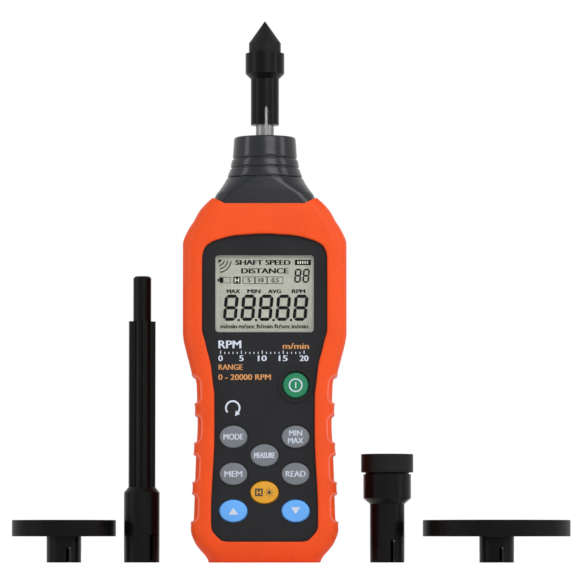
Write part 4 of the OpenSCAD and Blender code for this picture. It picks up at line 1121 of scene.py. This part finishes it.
def digit_lot(x, z, w, h, stroke, low_y, high_y, slant=0.09, gap=0.1):
    """Points and faces of a seven-bar digit with every bar on, centred and leaning."""
    wide, tall = w - stroke, (h - stroke) / 2
    bars = [bar_outline(0, side * tall, wide - 2 * gap, stroke, False) for side in (-1, 0, 1)]
    bars += [bar_outline(sx * wide / 2, sz * tall / 2, tall - 2 * gap, stroke, True)
             for sx in (-1, 1) for sz in (-1, 1)]
    return together([prism([(x + u + v * slant, z + v) for u, v in bar], low_y, high_y)
                     for bar in bars])


def window_place(share_x, share_z):
    """Place in the window from shares of its width and of its height from the top."""
    return WINDOW_X + share_x * WINDOW_W, WINDOW_TOP - share_z * WINDOW_H


def display_lots():
    """Small words, signs and frames of the display, placed by shares of the window."""
    lots = []

    def plate(place, w, h):
        lots.append(box_plate(*place, w, h, INK_Y, INK_BACK))

    def box(share_x0, share_x1, share_z0, share_z1):
        x0, z0 = window_place(share_x0, share_z0)
        x1, z1 = window_place(share_x1, share_z1)
        return (x0 + x1) / 2, (z0 + z1) / 2, x1 - x0, z0 - z1

    def word(text, share_x0, share_x1, share_z0, share_z1, bold=0.085):
        x, z, w, h = box(share_x0, share_x1, share_z0, share_z1)
        lots.append(lettering(text, h, x, z, INK_Y, INK_BACK, w, bold))

    def frame_round(share_x0, share_x1, share_z0, share_z1, line=0.24):
        lots.append(frame_band(*box(share_x0, share_x1, share_z0, share_z1), line, INK_Y,
                               INK_BACK))

    word("SHAFT SPEED", 0.206, 0.76, 0.056, 0.121)
    word("DISTANCE", 0.265, 0.74, 0.165, 0.232)
    for text, share in (("MAX", 0.182), ("MIN", 0.391), ("AVG", 0.601), ("RPM", 0.845)):
        word(text, share - 0.065, share + 0.065, 0.44, 0.49)
    for text, share in (("m/min", 0.137), ("m/sec", 0.32), ("ft/min", 0.5), ("ft/sec", 0.682),
                        ("in/min", 0.86)):
        word(text, share - 0.082, share + 0.08, 0.893, 0.948, 0.06)
    for left, right, text in ((0.277, 0.4, "5"), (0.403, 0.525, "10"), (0.525, 0.689, "0.5")):
        frame_round(left, right, 0.273, 0.369)
        x, z = window_place((left + right) / 2, 0.321)
        lots.append(lettering(text, 1.9, x, z, INK_Y, INK_BACK, None, 0.05))

    # Battery sign: its case, its knob and its charge
    frame_round(0.04, 0.155, 0.28, 0.36, 0.2)
    plate(window_place(0.03, 0.32), 0.7, 1.2)
    plate(window_place(0.062, 0.32), 1.5, 2.1)

    # Signal sign: three arcs round a corner
    x, z = window_place(0.03, 0.053)
    corner, arc_w = 1.7, 0.42
    for r in (2.6, 4.1, 5.6):
        lots.append(ring_band(x, z, r, arc_w, INK_Y, INK_BACK, math.radians(-82),
                              math.radians(-6), 20))
    lots.append(prism([(x, z), (x, z - corner), (x + corner, z)], INK_Y, INK_BACK))

    # Two small digits at the right, then the points between the large ones
    for share in (0.838, 0.922):
        lots.append(digit_lot(*window_place(share, 0.262), 3.0, 6.2, 0.74, INK_Y, INK_BACK,
                              0.09, 0.05))
    for share in (0.236, 0.413, 0.591, 0.768):
        plate(window_place(share, 0.84), 1.0, 1.0)
    return lots


def black_tabs():
    """Two black fields of the display, and the pale signs that lie on them."""
    proud, arm, field = INK_Y - 0.02, 0.42, 3.2
    x, z = window_place(0.218, 0.32)
    letter = [(-0.75, arm, 2.1), (0.75, arm, 2.1), (0, 1.2, arm)]
    fields = [box_plate(x, z, field, field, INK_Y, INK_BACK),
              box_plate(*window_place(0.889, 0.088), 7.1, 2.4, INK_Y, INK_BACK)]
    signs = [box_plate(x + u, z, w, h, proud, INK_BACK) for u, w, h in letter]
    signs += [box_plate(*window_place(share, 0.088), 0.5, 1.3, proud, INK_BACK)
              for share in (0.84, 0.864, 0.888, 0.912, 0.936)]
    return fields, signs


class TACHOMETER_OT_display(bpy.types.Operator):
    """The display's digits, words and signs, and a painted highlight round the window's glass
    """

    bl_idname = "tachometer.display"
    bl_label = "Display"

    def execute(self, context):
        stroke = context.scene.tachometer_sizes.stroke
        fields, signs = black_tabs()
        add_print("display_print", display_lots() + fields, "segment", "case")
        add_print("display_signs", signs, "lcd", "case")
        # A pale line round the window, just in front of the lens, is a painted highlight of the
        # glass edge
        highlight_r, highlight_w = 1.4, 0.32
        edge = round_frame(0, WINDOW_TOP - WINDOW_H / 2, WINDOW_W, WINDOW_H, highlight_r, highlight_w,
                           LENS_FRONT - 0.02, LENS_FRONT + 0.3)
        add_print("window_edge_highlight", [edge], "painted_lens_highlight", "case")
        digit = outward_mesh("digit", *digit_lot(0, 0, DIGIT_W, DIGIT_H, stroke, INK_Y,
                                                 INK_BACK))
        first, z = window_place(0.156, 0.68)
        mesh = grown_mesh("display_digits", row_tree(), {
            "Start": Vector((first, 0, z)) * MM, "Step": Vector((DIGIT_STEP, 0, 0)) * MM,
            "Count": 5, "Material": finish("segment")}, digit)
        add_piece("display_digits", mesh, finish("segment"), "case", (), 30)
        return {"FINISHED"}


# Signs lie between these two levels until they are draped over a key
SIGN_LEVELS = (-1, 0)


def key_surface(key):
    """The middle of a key, and the height of its crowned top at a place on it."""
    middle, half_w, half_h = key_place(key)
    dome = bpy.context.scene.tachometer_sizes.key_dome

    def surface(x, z):
        share = math.hypot((x - middle.x) / (half_w - KEY_SHOULDER),
                           (z - middle.z) / (half_h - KEY_SHOULDER))
        return KEY_TOP_Y + dome * (1 - math.cos(math.radians(90 * min(share, 1.0))))

    return middle, surface


def power_sign(x, z):
    """Ring and bar of the power key."""
    ring_r, ring_w, bar_w, bar_h = 2.75, 0.55, 0.5, 2.7
    return [ring_band(x, z, ring_r, ring_w, *SIGN_LEVELS),
            box_plate(x, z, bar_w, bar_h, *SIGN_LEVELS)]


def light_sign(x, z):
    """Small sun with eight rays."""
    sun_r, ray = 0.82, ((1.15, -0.16), (2.0, -0.1), (2.0, 0.1), (1.15, 0.16))
    lots = []
    for i in range(8):
        c, s = math.cos(math.tau * i / 8), math.sin(math.tau * i / 8)
        lots.append(prism([(x + c * u - s * v, z + s * u + c * v) for u, v in ray],
                          *SIGN_LEVELS))
    return lots + [prism(circle_outline(x, z, sun_r, 28), *SIGN_LEVELS)]


def arrow_sign(x, z, way):
    """Triangle that points up, or down where the way is -1."""
    half, low, high = 2.1, 1.6, 1.4
    return [prism([(x - half, z - low * way), (x + half, z - low * way),
                   (x, z + high * way)], *SIGN_LEVELS)]


def word_signs(lines, x, z):
    """Lines of words, each with its cap height, its width and its rise over the middle."""
    return [lettering(text, cap, x, z + rise, *SIGN_LEVELS, width, 0.045)
            for text, cap, width, rise in lines]


class TACHOMETER_OT_symbols(bpy.types.Operator):
    """Words and signs on the keys, laid on their crowned tops"""

    bl_idname = "tachometer.symbols"
    bl_label = "Key symbols"

    def execute(self, context):
        ink_t = context.scene.tachometer_sizes.print_t
        words = {"mode_key": [("MODE", 2.6, 8.6, 0)],
                 "min_max_key": [("MIN", 2.45, 5.6, 1.65), ("MAX", 2.45, 6.6, -1.65)],
                 "measure_key": [("MEASURE", 2.5, 9.0, 0)],
                 "memory_key": [("MEM", 2.6, 7.7, 0)], "read_key": [("READ", 2.6, 8.6, 0)]}
        for key in (*words, "power_key", "up_key", "down_key", "hold_light_key"):
            middle, surface = key_surface(key)
            x, z = middle.x, middle.z
            if key == "hold_light_key":
                self.hold_and_light(key, x, z, surface, ink_t)
                continue
            if key in words:
                lots = word_signs(words[key], x, z)
            elif key == "power_key":
                lots = power_sign(x, z)
            else:
                lots = arrow_sign(x, z, 1 if key == "up_key" else -1)
            add_print(key + "_symbol", [drape(lot, surface, ink_t) for lot in lots],
                      "white_ink", key)
        return {"FINISHED"}

    @staticmethod
    def hold_and_light(key, x, z, surface, ink_t):
        """A dark square with an open letter on it, beside a sun."""
        square, square_x, sun_x, arm = 3.4, x - 2.5, x + 2.1, 0.5
        lots = [box_plate(square_x, z, square, square, *SIGN_LEVELS)]
        lots += light_sign(sun_x, z)
        add_print(key + "_symbol", [drape(lot, surface, ink_t) for lot in lots], "black_ink",
                  key)
        letter = [box_plate(square_x + u, z, w, h, *SIGN_LEVELS)
                  for u, w, h in ((-0.75, arm, 2.2), (0.75, arm, 2.2), (0, 1.2, arm))]
        add_print(key + "_letter", [drape(lot, surface, 2 * ink_t) for lot in letter],
                  "key_amber", key)


def turning_arrow(x, z, r, width, low_y, high_y):
    """Round arrow that shows the sense of turning."""
    start, end = math.radians(-40), math.radians(220)
    band = ring_band(x, z, r, width, low_y, high_y, start, end, 40)
    c, s = math.cos(start), math.sin(start)
    tip = [(x + c * q - s * v, z + s * q + c * v) for q, v in (
        (r - 1.5 * width, 0.0), (r + 1.5 * width, 0.0), (r, -2.6 * width))]
    return [band, prism(tip, low_y, high_y)]


class TACHOMETER_OT_print(bpy.types.Operator):
    """Plain numbers and units printed on the panel"""

    bl_idname = "tachometer.print"
    bl_label = "Panel print"

    def execute(self, context):
        sunk = 0.1
        low = PANEL_Y - context.scene.tachometer_sizes.print_t
        high = PANEL_Y + sunk
        white = [lettering("RPM", 3.4, -15.3, 96.0, low, high, 9.8, 0.05)]
        white += self.scale(low, high)
        white += turning_arrow(-14.0, 68.0, 3.0, 0.8, low, high)
        # Each line's cap height, the place of its middle, and its width
        lines = (("m/min", 2.6, 13.8, 95.3, 11.4), ("RANGE", 2.4, -15.0, 86.0, 10.4),
                 ("0 - 20000 RPM", 2.5, -8.8, 81.6, 23.0))
        amber = [lettering(text, cap, x, z, low, high, width)
                 for text, cap, x, z, width in lines]
        add_print("white_print", white, "white_ink", "case")
        add_print("amber_print", amber, "amber_ink", "case")
        return {"FINISHED"}

    @staticmethod
    def scale(low, high):
        """A row of ticks with numbers under it; the ticks at the numbers are taller."""
        start_x, step, z = -19.4, 9.2, 91.8
        cap, below, narrow, wide = 2.5, 1.9, 1.75, 3.7
        per_number, tick_w, tick_h, tall_tick_h = 5, 0.36, 0.9, 1.5
        numbers = ("0", "5", "10", "15", "20")
        lots = []
        for i, text in enumerate(numbers):
            width = narrow if len(text) == 1 else wide
            lots.append(lettering(text, cap, start_x + i * step, z - below, low, high, width,
                                  0.05))
        for i in range(per_number * (len(numbers) - 1) + 1):
            tall = tick_h if i % per_number else tall_tick_h
            lots.append(box_plate(start_x + i * step / per_number, z + tall / 2, tick_w, tall,
                                  low, high))
        return lots


# Geometry Nodes, for what repeats

def new_tree(name, inputs):
    """An empty tree with geometry in and out, and its named inputs."""
    tree = bpy.data.node_groups.new(name, "GeometryNodeTree")
    tree.interface.new_socket("Geometry", in_out="INPUT", socket_type="NodeSocketGeometry")
    for label, kind in inputs:
        tree.interface.new_socket(label, in_out="INPUT", socket_type="NodeSocket" + kind)
    tree.interface.new_socket("Geometry", in_out="OUTPUT", socket_type="NodeSocketGeometry")
    return tree, tree.nodes.new("NodeGroupInput"), tree.nodes.new("NodeGroupOutput")


def end_tree(tree, start, end, instances):
    """Makes the instances real, gives them the material and ends the tree."""
    real = add_node(tree, "GeometryNodeRealizeInstances", instances)
    paint = add_node(tree, "GeometryNodeSetMaterial", Geometry=real.outputs["Geometry"],
                     Material=start.outputs["Material"])
    feed(tree, end.inputs["Geometry"], paint.outputs["Geometry"])
    return tree


def repeat_tree(name, inputs, feed_points):
    """A tree that sets the shape on each of the points that it is given."""
    if name in bpy.data.node_groups:
        return bpy.data.node_groups[name]
    tree, start, end = new_tree(name, inputs + (("Material", "Material"),))
    place = add_node(tree, "GeometryNodeInstanceOnPoints",
                     Instance=start.outputs["Geometry"])
    feed_points(tree, start.outputs, place.inputs)
    return end_tree(tree, start, end, place.outputs["Instances"])


def row_tree():
    """Repeats the shape along a straight row."""
    def feed_points(tree, given, wanted):
        line = add_node(tree, "GeometryNodeMeshLine", Count=given["Count"],
                        Offset=given["Step"])
        feed(tree, line.inputs["Start Location"], given["Start"])
        feed(tree, wanted["Points"], line.outputs["Mesh"])

    return repeat_tree("repeat in a row",
                       (("Start", "Vector"), ("Step", "Vector"), ("Count", "Int")), feed_points)


def round_tree():
    """Repeats the shape round an upright axis, and turns each copy with it."""
    def feed_points(tree, given, wanted):
        dots = add_node(tree, "GeometryNodeMeshLine", Count=given["Count"], Offset=(0, 0, 0))
        feed(tree, dots.inputs["Start Location"], given["Axis"])
        index = add_node(tree, "GeometryNodeInputIndex").outputs[0]
        share = add_node(tree, "ShaderNodeMath", index, given["Count"], operation="DIVIDE")
        turn = add_node(tree, "ShaderNodeMath", share.outputs[0], math.tau,
                        operation="MULTIPLY")
        about = add_node(tree, "ShaderNodeCombineXYZ", Z=turn.outputs[0])
        feed(tree, wanted["Points"], dots.outputs["Mesh"])
        feed(tree, wanted["Rotation"], about.outputs[0])

    return repeat_tree("repeat round an axis", (("Axis", "Vector"), ("Count", "Int")),
                       feed_points)


def grown_mesh(name, tree, values, shape):
    """Mesh that a tree makes of a shape with the given inputs."""
    holder = bpy.data.objects.new(name, shape)
    bpy.context.scene.collection.objects.link(holder)
    modifier = holder.modifiers.new("grow", "NODES")
    modifier.node_group = tree
    for item in tree.interface.items_tree:
        if item.in_out == "INPUT" and item.name in values:
            modifier[item.identifier] = values[item.name]
    holder.update_tag()
    bpy.context.view_layer.update()
    mesh = bpy.data.meshes.new_from_object(holder.evaluated_get(
        bpy.context.evaluated_depsgraph_get()))
    mesh.name = name
    bpy.data.objects.remove(holder)
    return mesh


# What Geometry Nodes repeat in and on the case

def ball_lot(x, y, z, r, rows=14, columns=24):
    """Points and faces of a ball."""
    points = [(x, y, z - r)]
    for i in range(1, rows):
        turn = math.pi * i / rows
        points += [(x + r * math.sin(turn) * math.cos(math.tau * j / columns),
                    y + r * math.sin(turn) * math.sin(math.tau * j / columns),
                    z - r * math.cos(turn)) for j in range(columns)]
    points.append((x, y, z + r))
    return points, capped_faces(rows - 1, columns)


def ridge_lot(length, height, proud, y, sunk=0.3):
    """Points and faces of a rounded ridge that lies on a plate, along x, facing +Y."""
    section = [(-height / 2, -sunk), (height / 2, -sunk)]
    section += [(height / 2 * math.cos(a), proud * math.sin(a))
                for a in np.linspace(0, math.pi, 13)]
    # Shares of the length, and of the section's size there
    half_end = [(-1, 0.02), (-0.985, 0.5), (-0.955, 0.85), (-0.92, 1.0)]
    ends = half_end + [(-share, size) for share, size in reversed(half_end)]
    count = len(section)
    points = [(share * length / 2, y + (v * size if v > 0 else v), u * max(size, 0.3))
              for share, size in ends for u, v in section]
    faces = [tuple(range(count))[::-1], tuple(range(len(points) - count, len(points)))]
    for i in range(len(ends) - 1):
        faces += band_faces(i * count, (i + 1) * count, count)
    return points, faces


class TACHOMETER_OT_repeats(bpy.types.Operator):
    """Bearing balls round the spindle and finger ridges on the battery cover"""

    bl_idname = "tachometer.repeats"
    bl_label = "Balls and ridges"

    def execute(self, context):
        balls = islands("bearing_balls")
        levels = sorted({round(centre.z, 1) for centre, _ in balls})
        ring_r = max(math.hypot(centre.x, centre.y) for centre, _ in balls)
        ball_r = min(max(size) for _, size in balls) / 2
        shape = outward_mesh("ball", *together([ball_lot(ring_r, 0, z, ball_r)
                                                for z in levels]))
        mesh = grown_mesh("bearing_balls_all", round_tree(), {
            "Axis": Vector((0, 0, 0)), "Count": len(balls) // len(levels),
            "Material": finish("bearing_steel")}, shape)
        add_piece("bearing_balls_all", mesh, finish("bearing_steel"), "spindle",
                  ("bearing_balls",), 60)
        ridge_w, ridge_h, ridge_rise = 15, 1.1, 0.42
        ridge_step, ridge_count, first_below_top = 1.9, 6, 20.5
        high = span("battery_cover")[1]
        shape = outward_mesh("ridge", *ridge_lot(ridge_w, ridge_h, ridge_rise, high.y))
        mesh = grown_mesh("cover_ridges", row_tree(), {
            "Start": Vector((0, 0, high.z - first_below_top)) * MM,
            "Step": Vector((0, 0, ridge_step)) * MM, "Count": ridge_count,
            "Material": finish("case_plastic")}, shape)
        add_piece("cover_ridges", mesh, finish("case_plastic"), "battery_cover",
                  (), 50)
        return {"FINISHED"}


# Stage

def add_light(name, place, aim, size, power):
    """A rectangular soft light, from a place towards an aim, in millimetres."""
    data = bpy.data.lights.new(name, "AREA")
    data.shape = "RECTANGLE"
    data.size, data.size_y = (side * MM for side in size)
    data.energy = power
    lamp = bpy.data.objects.new(name, data)
    bpy.context.scene.collection.objects.link(lamp)
    lamp.location = Vector(place) * MM
    lamp.rotation_euler = (Vector(aim) - Vector(place)).to_track_quat("-Z", "Y").to_euler()


def seen_share(tree):
    """1 for a ray that comes from the camera, off a gloss or through glass, else 0."""
    rays = add_node(tree, "ShaderNodeLightPath").outputs
    share = rays["Is Camera Ray"]
    for name in ("Is Glossy Ray", "Is Transmission Ray"):
        share = add_node(tree, "ShaderNodeMath", share, rays[name],
                         operation="MAXIMUM").outputs[0]
    return share


class TACHOMETER_OT_stage(bpy.types.Operator):
    """Camera, soft studio light, pale floor and white background"""

    bl_idname = "tachometer.stage"
    bl_label = "Stage"

    def execute(self, context):
        scene, stage = context.scene, context.scene.tachometer_stage
        scene.view_settings.view_transform = "Standard"
        scene.view_settings.look = "None"
        self.camera(scene, stage)
        self.background(scene, stage)
        self.floor(scene, stage)
        front, front_aim, front_size = (330, -900, 620), (0, 0, 110), (620, 620)
        side, side_aim, side_size = (620, -260, 330), (0, 0, 120), (160, 620)
        add_light("front_light", front, front_aim, front_size, stage.key_power)
        for name, way in (("left_light", -1), ("right_light", 1)):
            add_light(name, (way * side[0], *side[1:]), side_aim, side_size,
                      stage.side_power)
        return {"FINISHED"}

    @staticmethod
    def camera(scene, stage):
        """A long lens that looks at the front from just above the floor."""
        data = bpy.data.cameras.new("camera")
        data.lens = stage.lens
        data.sensor_width = 36
        data.clip_end = 20
        camera = bpy.data.objects.new("camera", data)
        scene.collection.objects.link(camera)
        camera.location = Vector((stage.eye_x, -stage.distance, stage.eye_z)) * MM
        pitch = math.atan2(stage.aim_z - stage.eye_z, stage.distance)
        camera.rotation_euler = (math.radians(90) + pitch, 0, 0)
        scene.camera = camera

    @staticmethod
    def background(scene, stage):
        """A world that looks white and lights the object softly from all round."""
        world = bpy.data.worlds.new("studio")
        world.use_nodes = True
        scene.world = world
        tree = world.node_tree
        plain, white = tree.nodes["Background"], tree.nodes.new("ShaderNodeBackground")
        for shader, strength in ((plain, stage.fill), (white, 1.0)):
            shader.inputs["Color"].default_value = (1, 1, 1, 1)
            shader.inputs["Strength"].default_value = strength
        mix = add_node(tree, "ShaderNodeMixShader", seen_share(tree), plain.outputs[0],
                       white.outputs[0])
        feed(tree, tree.nodes["World Output"].inputs["Surface"], mix.outputs[0])

    @staticmethod
    def floor(scene, stage):
        """A plain floor that keeps the shadow and looks white round it."""
        half = 4000 * MM
        ground = bpy.data.meshes.new("floor")
        ground.from_pydata([(-half, -half, 0), (half, -half, 0), (half, half, 0),
                            (-half, half, 0)], [], [(0, 1, 2, 3)])
        floor = bpy.data.objects.new("floor", ground)
        scene.collection.objects.link(floor)
        material, tree, shader, _ = blank_material("floor", (0.9, 0.9, 0.9), 0.9)
        shader.inputs["Emission Color"].default_value = (1, 1, 1, 1)
        glow = add_node(tree, "ShaderNodeMath", seen_share(tree), stage.floor_glow,
                        operation="MULTIPLY")
        feed(tree, shader.inputs["Emission Strength"], glow.outputs[0])
        ground.materials.append(material)


PIECES = (TACHOMETER_OT_inside, TACHOMETER_OT_case, TACHOMETER_OT_grip, TACHOMETER_OT_nose,
          TACHOMETER_OT_display, TACHOMETER_OT_print, TACHOMETER_OT_keys,
          TACHOMETER_OT_symbols, TACHOMETER_OT_loose, TACHOMETER_OT_repeats,
          TACHOMETER_OT_stage)


class TACHOMETER_PT_panel(bpy.types.Panel):
    """Sizes, colours and pieces of the tachometer"""

    bl_label = "Tachometer"
    bl_idname = "TACHOMETER_PT_panel"
    bl_space_type = "VIEW_3D"
    bl_region_type = "UI"
    bl_category = "Tachometer"

    def draw(self, context):
        scene = context.scene
        for group in (scene.tachometer_sizes, scene.tachometer_colours,
                      scene.tachometer_stage):
            box = self.layout.box()
            for name in group.__annotations__:
                box.prop(group, name)
        column = self.layout.column()
        for piece in PIECES:
            column.operator(piece.bl_idname)


GROUPS = (("tachometer_colours", TachometerColours), ("tachometer_sizes", TachometerSizes),
          ("tachometer_stage", TachometerStage))


def register():
    """Adds the groups, operators and panel to Blender."""
    for name, group in GROUPS:
        bpy.utils.register_class(group)
        setattr(bpy.types.Scene, name, PointerProperty(type=group))
    for piece in PIECES:
        bpy.utils.register_class(piece)
    bpy.utils.register_class(TACHOMETER_PT_panel)


def unregister():
    """Takes the groups, operators and panel away again."""
    bpy.utils.unregister_class(TACHOMETER_PT_panel)
    for piece in reversed(PIECES):
        bpy.utils.unregister_class(piece)
    for name, group in reversed(GROUPS):
        delattr(bpy.types.Scene, name)
        bpy.utils.unregister_class(group)


def main():
    """Builds every piece."""
    register()
    for piece in PIECES:
        group, name = piece.bl_idname.split(".")
        getattr(getattr(bpy.ops, group), name)()


if __name__ == "__main__":
    main()
